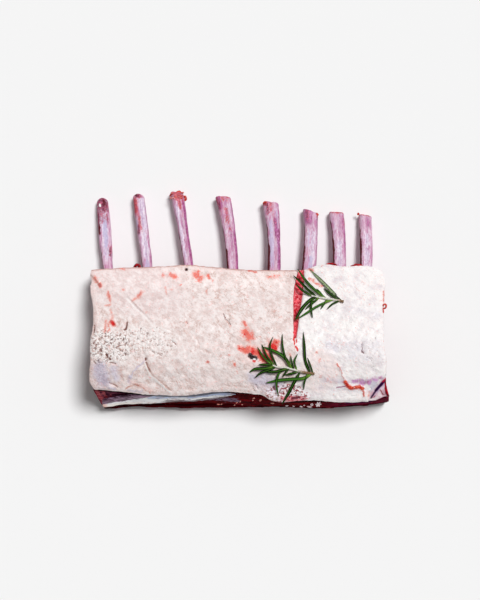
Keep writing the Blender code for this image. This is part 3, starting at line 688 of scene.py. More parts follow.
def place_cap(u, v, w):
    """From the eye to the fat, with the corner folded up, grooved behind and rimmed outside."""
    x, y = plan(u, v, meat_left, meat_right, cap_near, lambda x: fat_rib_edge(x) - 0.8)
    corner = ease((x - 96) / 8) * ease((-y - 56) / 6)
    fold = strokes(x, y, (1.5, 1.4, *FLAP_RIM)) + corner * (1.8 + 0.4 * ripple(x, y, 3, 46))
    top = under_fat(x, y) - 0.5 + fold - strokes(x, y, (1.5, 1.8, *FLAP_GROOVE)) * corner
    z = mix(under_cap(x, y), top, w)
    near_edge = (0.3 * ripple(x, z, 2.5, 47) - np.sin(np.pi * w) * 0.5) * (v < 0.004)
    return x + end_swell(u, y, z, 45), y + near_edge, z


def mark_cap(u, v, w, x, y, z):
    """Lines on the folded corner, with painted shade in its groove, the film over it, and painted shadow on
    the near edge of the sheet under the fat.
    """
    corner = ease((x - 93) / 3) * ease((-y - 54) / 4) * (w > 0.5)
    marks = {
        "lilac": [(3, 1, 106, -60.6, 101.4, -65.6, 98.6, -70.4)],
        "groove": [(1.3, 1.3, *FLAP_GROOVE[:8]), (1.3, 0.9, *FLAP_GROOVE[6:])],
        "rim": [(1, 1.4, *FLAP_RIM), (1.5, 1.2, *FLAP_RIM[6:]), (0.7, 0.9, 103.4, -66.2, 105.6, -69.6),
                (0.8, 0.9, 105, -69.6, 107.6, -69.8), (0.5, 0.7, 99.4, -70.6, 101.6, -70.8),
                (0.6, 0.8, 97.6, -72.4, 99.6, -71.6)],
        "scar": [(1.1, 1.1, 105.2, -60, 108, -57.4)]}
    marks = {name: strokes(x, y, *lines) * corner for name, lines in marks.items()}
    return marks | {"film": corner, "lip": (v < 0.03) * ease((92 - x) / 6)}


cap = Finish("cap_muscle", Specular_IOR_Level=0.05, Coat_Roughness=0.12, Coat_Weight=0.06)
fibre = cap.noise(1.3, (1, 5, 1), detail=4, rough=0.6)
pool = cap.noise(4, detail=4, rough=0.6)
cap.coat(1, (84, 8, 18), (146, 30, 40), fibre, 0.3, 0.7)
cap.coat(pool.step(0.62, 0.7) * 0.6, (214, 160, 156))
film = cap.tint(pool.step(0.4, 0.6), (230, 190, 204), (251, 238, 240))
cap.coat(cap.mark("film"), cap.tint(cap.patchy("lilac", pool, 1.4, 1) * 0.9, film, (188, 150, 200)))
# Painted shade in the groove behind the folded corner
cap.coat(cap.patchy("groove", fibre, 0.7, 0.5), (48, 8, 58))
cap.coat(cap.patchy("scar", pool, 0.9, 0.4) * 0.9, (188, 26, 58))
cap.coat(cap.patchy("rim", pool, 1.4, 0.4), (110, 2, 22), (190, 20, 44), pool, 0.4, 0.6)
# Painted shadow on the near edge, under the fat's overhang
cap.coat(cap.mark("lip") * 0.9, (22, 2, 8))
cap.show(0.34 + fibre * 0.25, fibre * 0.6 + pool * 0.4, 0.5)
sheet = block_skin(finer(300), finer(120), np.linspace(0, 1, 6), place_cap, mark_cap)
new_piece("cap_lean", sheet, cap, "lean", "cap_muscle")


# The fat cap. One thick sheet of firm white fat over the whole block. Two of its flaps part at the seam,
# where the lean shows red. It is crumbly where the skin was pulled off, and blood has stained it in places.
fat_left = curve_through(
    -67, -106.2, -63.5, -108.8, -45, -109.5, -28, -109.5, -21, -108.5, -8, -108.5, 4, -110.6, 10, -111.4,
    14, -110.8, 18, -112, 22, -111.4)
fat_right = curve_through(
    -76, 94.3, -70, 95.6, -66, 97.6, -62.5, 100.4, -59, 103.6, -56.5, 106.3, -50, 107.2, -28, 105.4, 0, 106.9,
    19, 107.6, 22, 106.4)
seam_left = curve_through(-34, 40, -27, 39.3, -9, 39, 4, 39.1, 13, 40.6, 20, 42.6, 24, 44.6, 34, 45.4)
seam_right = curve_through(-34, 40.7, -28, 41.4, -18, 43, -7, 44.6, 0, 46.2, 10, 47.6, 24, 48.2, 34, 48.4)
SEAM_BASE = (41, 45)
SEAM_FOOT_Y = -30
FAT_LENGTH, FAT_DEPTH = 218, 96


def seam_warp(x, y):
    """Moves the grid's columns so that two of them run along the seam's two lips."""
    left, right = SEAM_BASE
    column = np.interp(x, [14, left, right, 72], [0, 1, 2, 3])
    shift = mix(seam_left(y) - left, seam_right(y) - right, np.clip(column - 1, 0, 1))
    return x + shift * np.clip(column, 0, 1) * np.clip(3 - column, 0, 1)


def above_foot(y):
    """0 below the seam's foot, where it closes, and 1 above."""
    return ease((y - SEAM_FOOT_Y) / 5)


def in_seam(base_x, y):
    """1 between the seam's lips, by the grid column, and 0 outside."""
    left, right = SEAM_BASE
    return np.clip((base_x - left) / 0.7, 0, 1) * np.clip((right - base_x) / 0.7, 0, 1) * above_foot(y)


def crumbs(x, y, size, seed):
    """Rounded grains: 1 at a jittered point of each square cell, falling with distance to 0 between them."""
    jitter = np.random.default_rng(seed).uniform(0.15, 0.85, (2, 97, 97))
    x, y = x / size, y / size
    i, j = np.floor(x).astype(int), np.floor(y).astype(int)
    cells = [(i + a, j + b) for a in (-1, 0, 1) for b in (-1, 0, 1)]
    away = [np.hypot(*(x - i, y - j) - jitter[:, i % 97, j % 97]) for i, j in cells]
    return 1 - np.clip(np.minimum.reduce(away), 0, 1)


def area(x, y, middle_x, middle_y, long, wide, turn=0):
    """A soft-edged oval: 1 inside, 0 outside, with its long side turned from X."""
    x, y = x - middle_x, y - middle_y
    along, across = x * np.cos(turn) + y * np.sin(turn), y * np.cos(turn) - x * np.sin(turn)
    return ease((1.25 - np.hypot(along / long, across / wide)) / 0.5)


def crumbly(x, y):
    """1 where the fat is crumbly, at the loin end and in a few places more."""
    return np.maximum.reduce([share * area(x, y, *oval) for share, *oval in (
        (1, -100, -34, 11, 14), (0.9, -90, -34, 12, 12), (0.75, -78, -29, 18, 10), (0.65, -62, -30, 16, 12),
        (0.55, 95, -37, 8, 10, 0.5), (0.5, 80, -15, 7, 6), (0.9, 34, -68, 14, 7), (0.3, 59, 22, 6, 4))])


def smooth_skin(x, y):
    """1 where the skin was left smooth, at the loin end by the ribs and beyond the seam."""
    return np.maximum(area(x, y, -80, 12, 44, 22, -0.3), 0.7 * area(x, y, 82, 8, 26, 16))


# Marks on the fat are lines for strokes. These are thin red streaks,
STREAKS = [
    (1.1, 1, -108.6, 16.8, -106.4, 13.6), (1.2, 1.3, -104.6, 11.8, -103.8, 10.6),
    (0.9, 1, -97.9, 6.2, -97.1, 2.4, -95.6, -0.6), (0.8, 0.8, -98.8, -4.2, -96, -3.4),
    (0.9, 0.7, -95.6, -7.3, -93.8, -11, -93.8, -16), (1.2, 1.5, -94.4, -15.9, -92.4, -18),
    (0.8, 0.7, -90.1, -19.6), (0.8, 0.9, -98.6, -15.2, -98.2, -18.5, -99, -23),
    (0.7, 0.9, -96.7, -16.9, -95.6, -21.4, -96.7, -23.7), (0.7, 1.1, -98.6, -22.3), (0.6, 0.8, -90.4, -24.4),
    (1, 0.9, -86.3, 7.6), (1.3, 0.95, -73.2, 5.1, -75.4, 2.4), (0.9, 0.8, -75.4, 2.4, -79.2, -0.2),
    (0.9, 0.6, -68.9, -9), (0.6, 0.8, -55.4, 9.2, -54.6, 3.9), (0.5, 0.8, -24.6, 7.6, -24.6, 3.4),
    (0.7, 0.7, -50.3, 7.5), (1, 0.7, -38.9, -16.4), (0.7, 0.8, -6.6, -18.9), (0.6, 0.7, -10.8, -23.5),
    (0.5, 1.1, 6.7, 21.9, 9.7, 21.4, 12.7, 20.5), (0.6, 1.1, 31.5, 23, 34.8, 23.3), (0.9, 1.3, -23.4, -45.2),
    (0.8, 0.8, -4.4, -46.9), (0.7, 0.7, -2.2, -52), (0.5, 1, 6.5, -66.6), (0.7, 0.8, 53.2, -35.6),
    (0.8, 1, 56.2, -38.4), (0.5, 0.8, 58, -42, 57.8, -45.6), (0.6, 0.9, 58.6, -56.6), (0.7, 0.8, 66, -60.4),
    (0.6, 0.8, 64.3, -57.4), (0.7, 0.8, 47.3, -31), (1.1, 1.1, 50.5, 24.5, 54, 22),
    (0.7, 1, 106.6, 6.4, 106.8, -2.2), (0.6, 0.9, 36.7, -39.4, 37, -41), (0.9, 0.9, 95, -67.4, 94.6, -71),
    (0.5, 0.9, 28.7, -12.5), (0.6, 0.7, 24.9, -8.8)]
# broad stains of blood,
BLOOD = [
    (1.6, 0.75, -57.6, 18.4), (2.2, 0.85, -51.6, 18.6, -48.2, 17.2), (2.5, 0.9, -33.2, 18.6, -29.2, 16.6),
    (1.8, 0.9, -31.6, 20.6, -30, 14.6), (1.2, 0.9, -24, 18.6, -22.8, 16.2), (0.9, 0.8, -43.9, 11),
    (1, 0.7, -20.1, 14.3), (1.6, 0.6, 20.8, 17.1, 28.3, 18), (1.5, 0.95, 3, -16, 4, -18.4),
    (3.2, 1.1, 3.8, -23.4, 6.6, -26.6), (1.6, 0.8, 8.6, -23.6, 9.4, -28.4), (1.3, 1, 3.3, -25.7),
    (2.2, 1.2, 0, -35, 6, -37.4), (2.4, 1.3, 6, -35, 12, -38.4), (2.8, 1.2, 12.4, -38, 17.6, -43.6),
    (2.4, 1.1, 18.6, -37.6, 22.6, -43.6), (2.8, 1.2, 25, -31.6, 24.6, -35), (2, 0.7, 28, -29.4, 27, -32.8),
    (1.6, 0.5, 20.4, -29, 22, -33.4), (1.4, 0.8, -4.4, -47.2), (1.3, 0.6, -7.8, -40),
    (1.4, 0.7, 51.3, 16.4, 56.4, 12.6, 60.8, 10.4), (1, 0.6, -88.8, 23, -85.4, 22.2)]
# fresh clots,
CRIMSON = [
    (0.8, 1.2, -0.4, -35.2), (1.1, 1.1, 3.4, -25.4), (1.3, 1.1, 9, -36, 9.2, -39.6), (1.4, 1.2, 10.2, -44.2),
    (1.3, 1, 14, -38.4, 17.4, -43), (1.2, 0.9, 18.6, -39.6, 20.4, -43.4), (2, 1.2, 24.2, -33.8, 25.6, -35.2),
    (1.2, 0.9, 26.6, -31), (1.1, 1.3, -94, -16.4, -92.6, -17.8),
    (0.7, 1.1, 39.4, -24, 39.2, -28.6, 39.6, -33), (0.9, 1.2, 40.9, -34.2, 41.7, -36.4),
    (0.9, 1.2, 41.2, -29.2, 41.4, -31), (0.6, 1.1, 41.8, -37.4)]
# flushed fat,
ROSY = [
    (7, 0.5, -98, 12, -92, -8), (8, 0.5, -60, 18, -30, 17), (9, 0.3, -45, 5, -20, -8),
    (6, 0.6, -34, 22, -2, 22), (7, 0.55, 18, 18, 32, 17), (6, 0.5, 22, -4, 28, -12),
    (9, 0.9, 2, -30, 20, -40), (6, 0.8, 0, -42, 8, -46), (5, 0.5, -6, -50, 2, -54),
    (5, 0.6, -25, -33.5, -10, -35), (5, 0.6, -24, -61.4, -18, -62.9),
    (3.4, 1, -79, -60.6, -71.3, -63.2, -65, -66.6), (5, 0.4, -88, -50, -60, -52), (6, 0.35, 50, -30, 60, -48),
    (4, 0.5, 104, 8, 105, -12), (5, 0.45, 46, 20, 58, 14), (7, 0.4, -70, -8, -78, 2),
    (6, 0.4, -100, -52, -96, -60), (3, 0.7, 64, -58.6, 70, -60.5), (2.4, 0.8, 95, -73, 100, -74),
    (3.5, 0.7, 92, -68, 90, -72)]
# pits and nicks,
HOLES = [
    (0.7, 1.1, -82.8, -16.4, -83, -19, -83.4, -21.4), (0.8, 1, -84.4, -21.6),
    (0.7, 1.1, -101.9, -35.6, -101.2, -37.4), (0.8, 1.1, -97.6, -39.6, -96.6, -41.6),
    (0.8, 1.1, -95.6, -42.4, -94.4, -43.4), (0.6, 0.9, -107.2, -30.6, -107.2, -35.4),
    (0.6, 0.9, -107, -43.8, -105.4, -46.4), (0.6, 0.9, -95, -45.2, -90.8, -46.4),
    (0.6, 0.9, -84, -38.6, -83.4, -40.4), (0.5, 0.9, -85.4, -27.6, -85, -31.2), (0.6, 0.8, -104, -27),
    (0.6, 0.8, -99.5, -28), (0.5, 0.7, -91.5, -33), (0.6, 0.8, -88, -36), (0.5, 0.7, -102.4, -31),
    (0.8, 1.2, -68.8, -42.4, -68.6, -43.6), (0.5, 0.9, -68.4, -45.2, -67.2, -48.4, -65.4, -52.4),
    (0.5, 0.8, -64.3, -37.3, -62, -38.6), (0.5, 0.8, -60.4, -38.6, -57, -40.4),
    (0.5, 0.8, -50, -29.2, -46.4, -32.6), (0.45, 0.9, -12.2, -10, -10.6, -14.2, -8.2, -15.8, -6.8, -18.4),
    (0.4, 0.8, -7.2, -13.8, -8.2, -15.8), (0.5, 0.7, -39.4, -14.6, -38.4, -17.4), (1.1, 1.6, -40, 22.6),
    (0.5, 0.6, -31.6, -3.4), (1.1, 1.3, 6.6, -41, 8.6, -42.2),
    (0.45, 0.9, 89.4, -31.2, 88.8, -33.4, 89.2, -36, 88.6, -37.6), (0.6, 1.1, 88.7, -37.4, 90.2, -38.8),
    (0.35, 0.8, 98.8, -27.2, 98.6, -30), (0.4, 0.7, 92, -41.4, 94.4, -42.6), (0.35, 0.6, 84, -33, 86, -34.8),
    (0.35, 0.6, 93.5, -48.6, 96, -49.6, 97.8, -48.4), (0.4, 0.6, 94.6, -42.6, 96, -44.6),
    (0.3, 0.5, 78, -12, 80.2, -14.6, 79.2, -17.4), (0.9, 1.2, 24.4, -63.8), (0.8, 1.2, 31.6, -63),
    (0.8, 1.1, 34.6, -63.8), (0.7, 1, 32.7, -60.7), (0.7, 1, 29.1, -66.9), (0.7, 1, 32, -68.7),
    (0.8, 1.1, 37.8, -69.6), (0.7, 1, 40, -66.9), (0.9, 1.1, 42.4, -64), (1.2, 1.1, 38.6, -72.4, 43.4, -71.6),
    (0.9, 1, 36.4, -71), (0.8, 1, 46.6, -72.7), (0.5, 0.8, 11.6, -61.6, 13.2, -65),
    (0.5, 0.7, 9.8, -64.6, 11.2, -66.8), (0.7, 0.9, -106.8, -18.6, -106.6, -25.4),
    (0.5, 0.8, -96, -60.4, -92.6, -61.8, -89.6, -63.8)]
# brown stains,
RUST = [
    (1.5, 0.7, -87.2, -48.8, -86.2, -57),
    (0.9, 1, -84.4, -65, -80.2, -63.2, -76.6, -61.6, -72, -63.4, -69.6, -66.4), (0.7, 1, -76.6, -59.4),
    (0.8, 0.9, -69.6, -66.6, -65.6, -68.2), (0.7, 0.9, -96, -60.6, -90, -62.6),
    (0.9, 0.9, -68.4, -45.8, -66.6, -49.6, -65.2, -52.6), (0.8, 0.8, -79.8, -0.4, -77.6, -2.2, -75.2, -5.2),
    (1.2, 0.6, -31, -32.6, -29.8, -34.6), (1.6, 0.35, -28, -33.6, -17.6, -34),
    (0.6, 0.6, -22.2, -37, -22.6, -43), (1.2, 0.6, -104.6, 12.6), (0.8, 0.8, -2, -53.4),
    (0.5, 0.9, -12.2, -10, -10.4, -14.4, -7, -18.2), (0.9, 0.6, -50, -29.6, -46.4, -32.6),
    (1.1, 0.6, -107, -20, -106.8, -26), (1, 0.5, -64.3, -37.3, -57, -40.4)]
# and bluish film.
BLUE = [
    (8, 1.4, -102, -50.5, -100, -59), (6, 1, -92, -50, -90, -57),
    (1.1, 1.1, -69.2, -44.4, -74.2, -48.6, -77.8, -52.4, -80, -57.4), (2.4, 1, -80.6, -56, -81.2, -60.4),
    (1.6, 1.1, -96.4, -64.6, -91, -65), (1.7, 1.1, -82, -66.6, -72, -67), (9, 0.8, 66, -34, 100, -34),
    (8, 0.7, 78, -42, 100, -42), (6, 0.7, 78, -7, 102, -11), (4, 0.7, 56, -64, 92, -67),
    (5, 0.8, 60, -58, 80, -60), (3.2, 1.1, 92, -60, 99, -61.4, 96, -66), (5, 0.35, -20, 5), (5, 0.4, 10, 8),
    (9, 1.2, 12, -57, 26, -62), (3, 0.9, 13.2, -59, 17, -67)]
# The routes of the raised vessel, the slanting crease, the low ridge and the fold at the loin end
VESSEL = (
    70.6, -46.6, 73, -49.8, 74.6, -55.6, 76.9, -59.8, 78.4, -62.3, 81.4, -64.8, 83.9, -64.1, 87.3, -63.3,
    89.6, -64.9, 90.8, -68.2, 91.2, -70.8)
CREASE = (-68.2, -45.2, -66.2, -50.4, -63.8, -54.4, -57, -60.4, -50.4, -66.4)
RIDGE = (-83, 2.4, -75.4, -5.4, -68.4, -11.6, -63.4, -17)
FOLD = (-111, 18.4, -108.8, 16.4, -106, 13, -103.8, 10.4)


def fat_relief(x, y):
    """Height over the fat's smooth form: broad swells, slanting crinkles, grains, folds and pits."""
    a, b = x * 0.8 + y * 0.6, y * 0.8 - x * 0.6
    swells = 0.5 * ripple(x, y, 23, 61) + 0.35 * ripple(a, b, 9, 62)
    crinkles = 0.34 * ripple(a * 0.7, b, 3, 63) + 0.2 * ripple(a, b, 1.6, 64)
    crinkles = crinkles * (1 - 0.6 * smooth_skin(x, y))
    rough = crumbly(x, y)
    grains = rough * (1.2 * crumbs(x, y, 2.2, 65) + crumbs(x + 7, y, 1.7, 66) - 1)
    folds = (
        strokes(x, y, (1, -1.6, *FOLD), (2.2, 0.6, *FOLD), (0.6, -0.8, *CREASE), (0.9, -0.6, *CREASE[:4]))
        + strokes(x + 0.8, y + 0.9, (0.8, 0.7, *CREASE)) + strokes(x - 0.5, y - 0.5, (0.9, 0.5, *RIDGE))
        - strokes(x + 0.5, y + 0.5, (0.6, 0.5, *RIDGE)) + strokes(x, y, (1.1, 0.4, *BLUE[2][2:]))
        + strokes(x, y, (0.8, 0.7, *VESSEL[:8]), (1.4, 1.5, *VESSEL[6:18]), (0.8, 0.9, *VESSEL[16:]))
        - strokes(x, y, *((width * 1.15, *line) for width, *line in HOLES))
        - strokes(x, y, (0.9, 0.9, 91.3, 11.9)) + strokes(x, y, (2.2, 0.5, 91.3, 11.9)))
    return swells + crinkles * (1 - 0.5 * rough) + grains + folds


def fat_plan(u, v):
    """The point on the outline of the fat."""
    return plan(u, v, fat_left, fat_right, fat_chine_edge, fat_rib_edge)


def place_fat(u, v, w):
    """From the cap muscle to the relief, with rounded shoulders, parted lips at the seam and tucked edges."""
    base_x, y = fat_plan(u, v)
    x = seam_warp(base_x, y)
    gap = in_seam(base_x, y)
    lips = sum(bell(base_x - lip, 1.2) for lip in SEAM_BASE) * above_foot(y)
    inside = np.minimum(np.minimum(u, 1 - u) * FAT_LENGTH, np.minimum(v, 1 - v) * FAT_DEPTH)
    shoulder = 0.9 * bell(inside, 1.3)
    low = under_fat(x, y) + 0.5 * shoulder
    top = skin(x, y) + fat_relief(x, y) * ease(inside / 2 + 0.3) - shoulder - 0.5 * lips * (1 - gap)
    z = mix(low, mix(top, low + 0.35 + 0.2 * ripple(x, y, 2, 67), gap), w)
    wobble = 0.22 * ripple(x, y, 5, 68) + 0.2 * ripple(x, y, 1.7, 69)
    tuck = np.where(w < 0.8, 1.9 * (1 - w / 0.8) ** 2, 0.6 * (w / 0.2 - 4) ** 2)
    out_x, out_y = 2 * u - 1, 2 * v - 1
    return x + wobble * out_x**41 - tuck * out_x**61, y + wobble * out_y**21 - tuck * out_y**31, z


def mark_fat(u, v, w, x, y, z):
    """Marks laid on swaying lines for what soaked in, and on straight ones for what was cut, with painted
    shade in the creases, painted highlights beside them and a few painted wet highlights.
    """
    sway_x, sway_y = x + 0.5 * ripple(x, y, 2.1, 101), y + 0.5 * ripple(x, y, 2.1, 102)
    rough = crumbly(x, y)
    from_ribs, from_loin, from_shoulder = (1 - v) * FAT_DEPTH, u * FAT_LENGTH, (1 - u) * FAT_LENGTH
    swayed = {
        "blood": BLOOD, "crimson": CRIMSON, "rust": RUST, "blue": BLUE,
        "streak": [(width * 1.5, strength * 0.95, *line) for width, strength, *line in STREAKS],
        "purple": [(2.2, 1.2, 83, -59.6, 90, -59), (2.6, 1.3, 88, -60.4, 94, -60),
                   (2.6, 1.1, 95, -58.6, 103, -57.4), (1.6, 0.7, 70, -59.5, 82, -60.2)]}
    still = {
        "rosy": ROSY, "hole": HOLES, "vein": [(0.5, 1.2, 70.4, -64.2, 76.9, -63.2)],
        "scrap": [(1.5, 1.5, 7.4, -40, 8.8, -41.8, 11.4, -42.2), (0.9, 1.3, -40, 22.8)],
        "cut": [(0.7, 1, *CREASE), (0.9, 1, *FOLD), (0.9, 0.5, *RIDGE)],
        "gleam": [(1.3, 1, 95, -65.4), (0.6, 1, 83.6, -63.9), (0.8, 1, 10, -43, 11, -43.2)]}
    marks = {name: strokes(sway_x, sway_y, *lines) for name, lines in swayed.items()}
    marks |= {name: strokes(x, y, *lines) for name, lines in still.items()}
    return marks | {
        "vessel": strokes(sway_x, y, (0.8, 0.8, *VESSEL[:8]), (1.6, 1.2, *VESSEL[6:18]),
                          (1, 0.9, *VESSEL[16:])),
        "sheen": strokes(x + 1.1, y + 1.2, (0.7, 1, *CREASE), (0.9, 0.7, *RIDGE)),
        "crumb": rough, "gap": rough * ease(1.7 - 3 * crumbs(x, y, 2.2, 65)), "smooth": smooth_skin(x, y),
        "lean": in_seam(fat_plan(u, v)[0], y), "white": ease((x - seam_left(y) + 1) / 3),
        "maroon": (x - 8) / 6, "flesh": bell(from_ribs, 2.2) + bell(from_loin, 4),
        "brow": bell(from_ribs, 0.7) * (0.5 + 0.5 * ease((70 - x) / 10)) + bell(from_shoulder, 1.5),
        "near": (ease((-54 - y) / 18) + 0.5 * ease((y - 2) / 12) * ease((42 - x) / 12)) * (w > 0.5),
        "speck": np.minimum(area(x, y, 34, -68.6, 15, 7) + 0.6 * area(x, y, 44, -71, 8, 3), 1),
        "ember": area(x, y, 39, -72.6, 11, 2.6), "blush": area(x, y, 58, -52, 16, 18)}


# Painted light: the fat glows a little with its own colour where the near mark lies, by the chine edge and on
# the rib side left of the seam
fat = Finish("fat_cap", Specular_IOR_Level=0.12, Emission_Strength=0.16, Coat_Roughness=0.14,
             Coat_Weight=0.08)
cloud = fat.noise(15, detail=4)
mottle = fat.noise(5, (1.3, 1, 1), turn=0.7, detail=5, rough=0.62)
crinkle = fat.noise(1.9, (1.6, 1, 1), turn=0.7, detail=4, rough=0.68, warp=0.9)
fine = fat.noise(0.9, rough=0.65)
grit = fat.noise(1.7, rough=0.7, warp=0.6)
blot = fat.noise(2.4, rough=0.6)
grain = mottle * 0.5 + crinkle * 0.35 + fine * 0.15
crisp, spotted = crinkle * 0.5 + fine * 0.5, blot * 0.5 + fine * 0.5
fat.coat(1, (227, 207, 203), (248, 238, 236), grain, 0.4)
fat.coat(fat.mark("smooth") * 0.9, (224, 202, 200), (247, 236, 235),
         mottle * 0.4 + cloud * 0.2 + crinkle * 0.4, 0.38, 0.6)
# Coarse fat away from the smooth skin: painted shade in pinkish crinkle hollows, specks, white grains on the
# crinkle tops that are painted highlights, and thin wandering folds
coarse = cloud.step(0.62, 0.44) * (1 - fat.mark("smooth") * 0.85)
lines = fat.noise(5.5, (1.8, 1, 1), turn=0.75, detail=4, rough=0.6, warp=0.9) - 0.5
folds = 1 - (lines * lines).step(0, 0.0007)
fat.coat((crinkle * 0.7 + fine * 0.3).step(0.46, 0.37) * (coarse * 0.45 + 0.1), (211, 182, 172))
fat.coat(blot.step(0.61, 0.7) * (coarse * 0.5 + 0.2), (228, 186, 176))
fat.coat((crinkle * 0.55 + fine * 0.45).step(0.53, 0.61) * (coarse * 0.6 + 0.3), (255, 254, 253))
fat.coat(folds * mottle.step(0.56, 0.46) * (coarse * 0.5 + 0.1), (196, 160, 148))
fat.coat(fat.mark("flesh") * (mottle + 0.1) * 0.5, (228, 190, 184))
fat.coat(fat.patchy("brow", crinkle, 3, 0.6) * 0.6, (164, 104, 92))
drift = cloud * 0.3 + mottle * 0.4 + crinkle * 0.3
white = fat.tint(drift.step(0.38, 0.54), (234, 226, 230), (254, 251, 250))
# Greyer in the crinkle hollows: painted shade
white = fat.tint((crinkle * 0.6 + fine * 0.4).step(0.41, 0.33) * 0.7, white, (206, 194, 200))
white = fat.tint(fat.patchy("blush", mottle, 1.6, 0.8) * 0.45, white, (240, 212, 208))
fat.coat(fat.mark("white") * 0.9, white)
# The crumbly patch, with painted shade in the gaps between its grains
crumb = fat.mark("crumb")
fat.coat(crumb * grit.step(0.42, 0.54), (250, 246, 244))
crevice = (fat.mark("gap") * (crinkle + 0.45)).step(0.35, 0.8)
painted_gap_shade = fat.tint(blot.step(0.42, 0.58), (112, 60, 50), (190, 160, 150))
fat.coat(crevice * 0.75, painted_gap_shade)
fat.coat((grit - crumb * crumb * 0.12).step(0.37, 0.29) * crumb.step(0.1, 0.7) * 0.75, painted_gap_shade)
# Stains
fat.coat(fat.patchy("blue", mottle, 1.4, 0.9) * 0.8, (178, 168, 190), (216, 210, 226),
         crinkle * 0.5 + mottle * 0.5, 0.4, 0.6)
fat.coat(fat.patchy("rosy", mottle * 0.5 + crinkle * 0.5, 3, 1.2) * 0.55, (238, 168, 156))
fat.coat(fat.patchy("purple", crinkle * 0.4 + blot * 0.6, 3.4, 1) * 0.9, (150, 30, 112), (200, 140, 200),
         blot)
fat.coat(fat.patchy("rust", crinkle * 0.6 + fine * 0.4, 2.6, 0.8) * 0.85, (156, 74, 48), (206, 130, 104),
         fine)
fat.coat(fat.patchy("blood", blot * 0.6 + crinkle * 0.4, 2.308, 1, 0) * 0.55, (243, 150, 136))
fat.coat(fat.patchy("blood", crinkle * 0.4 + fine * 0.6, 4.348, 0.783, 0.217) * 0.85,
         (216, 40, 32), (242, 108, 84), crisp)
fat.coat(fat.patchy("streak", crisp, 2.5, 0.958, 0.125) * 0.85, (230, 124, 104), (198, 44, 32),
         fat.mark("streak"), 0.7, 1.1)
fat.coat(fat.patchy("crimson", spotted, 1.667, 0.5, 0.333) * 0.95, (196, 8, 20), (238, 56, 48), fine)
# The corner by the flap: pale grains on raw red
lumps = fat.cells(1.9) + (fine - 0.5) * 0.6
fat.coat(fat.mark("speck") * lumps.step(0.5, 0.3) * 0.8, (250, 238, 250))
fat.coat(lumps.step(0.55, 0.68) * fat.mark("speck").step(0.1, 0.7) * 0.9, (86, 4, 34), (170, 18, 50),
         fine, 0.42, 0.56)
fat.coat(fat.patchy("ember", fine * 0.6 + grit * 0.4, 4, 0.5) * 0.8, (176, 4, 36), (244, 130, 140),
         fine, 0.4, 0.6)
# Vessel with painted highlights, creases darkened partly by their own brown and partly by painted shade,
# painted highlights beside them, pits, the open seam and painted wet highlights
tube = fat.tint(crisp.step(0.42, 0.58), (176, 24, 22), (230, 84, 54))
tube = fat.tint(fine.step(0.56, 0.62) * 0.35, tube, (250, 190, 160))
fat.coat(fat.patchy("vessel", crisp, 2, 0.636, 0.273), tube)
fat.coat(fat.mark("vein").step(0.3, 0.9) * 0.85, (150, 60, 110))
fat.coat(fat.mark("cut").step(0.2, 1) * 0.6, (152, 112, 102))
fat.coat(fat.mark("sheen").step(0.3, 0.9) * 0.8, (255, 254, 252))
fat.coat(fat.patchy("hole", fine, 1.091, 0.545, 0.273) * 0.9, (104, 40, 22), (92, 4, 36),
         fat.mark("maroon"), 0, 1)
fat.coat(fat.patchy("scrap", fine, 1.5, 0.6, 0.25) * 0.95, (16, 10, 12), (150, 138, 144), fine, 0.56, 0.66)
lean = fat.tint((crinkle * 0.5 + blot * 0.5).step(0.42, 0.58), (182, 8, 34), (240, 104, 114))
fat.coat(fat.mark("lean").step(0.2, 0.5), fat.tint(grit.step(0.54, 0.64) * 0.6, lean, (250, 176, 180)))
fat.coat(fat.mark("gleam").step(0.4, 0.7), (255, 255, 255))
# Painted light: the glow, laid where the near mark lies
glow = fat.tint(fat.mark("near"), (0, 0, 0), fat.colour)
fat.show(0.4 + mottle * 0.2, grain - crevice * 0.25, 1.8, glow)
sheet = block_skin(finer(306), finer(128), np.array([0, 0.15, 0.4, 0.65, 0.88, 1]), place_fat, mark_fat)
new_piece("white_fat", sheet, fat, "fat", "fat_cap")


# The shreds. Scraps of red meat and skin left by the knife: on the frayed tip of the third bone, along the
# rib edge, on the shoulder end and down the chine side.
def gathered(skins):
    """Several skins as one, with each one's faces counted on from the points before it."""
    points, faces, marks = zip(*skins)
    before = np.cumsum([0, *map(len, points)])
    faces = [[i + start for i in face] for part, start in zip(faces, before) for face in part]
    marks = {name: np.concatenate([each[name] for each in marks]) for name in marks[0]}
    return np.concatenate(points), faces, marks


def line_through(numbers, size, count):
    """Evenly shared points on a smooth curve through points of this size, and its direction at each."""
    route = np.reshape(numbers, (-1, size))
    travelled = np.append(0, np.cumsum(np.linalg.norm(np.diff(route, axis=0), axis=1)))
    at = np.linspace(0, travelled[-1], count)
    line = np.stack([curve(travelled, side)(at) for side in route.T], -1)
    ahead = np.gradient(line, axis=0)
    return line, ahead / np.linalg.norm(ahead, axis=1)[:, None]


def ribbon(width, thick, *route, taper=0.8, turns=14, rings=18, pale=0):
    """An ellipse carried along a curve through the points, thinning to both ends, with a bumpy skin."""
    line, ahead = line_through(route, 3, rings)
    side = np.cross(ahead, (0, 0, 1))
    side /= np.maximum(np.linalg.norm(side, axis=1), 1e-6)[:, None]
    lift = np.cross(side, ahead)
    share, angle = np.linspace(0, 1, rings)[:, None], around(turns)
    body = 1 - taper * np.abs(2 * share - 1) ** 3
    body = body * (1 + 0.25 * ripple(share * 9 + route[0], angle * 2, 1, 71))
    out, up = body * np.cos(angle) * width / 2, body * np.sin(angle) * thick / 2
    x, y, z = (line[:, i, None] + side[:, i, None] * out + lift[:, i, None] * up for i in range(3))
    return wrapped(x, y, z, pale=pale)


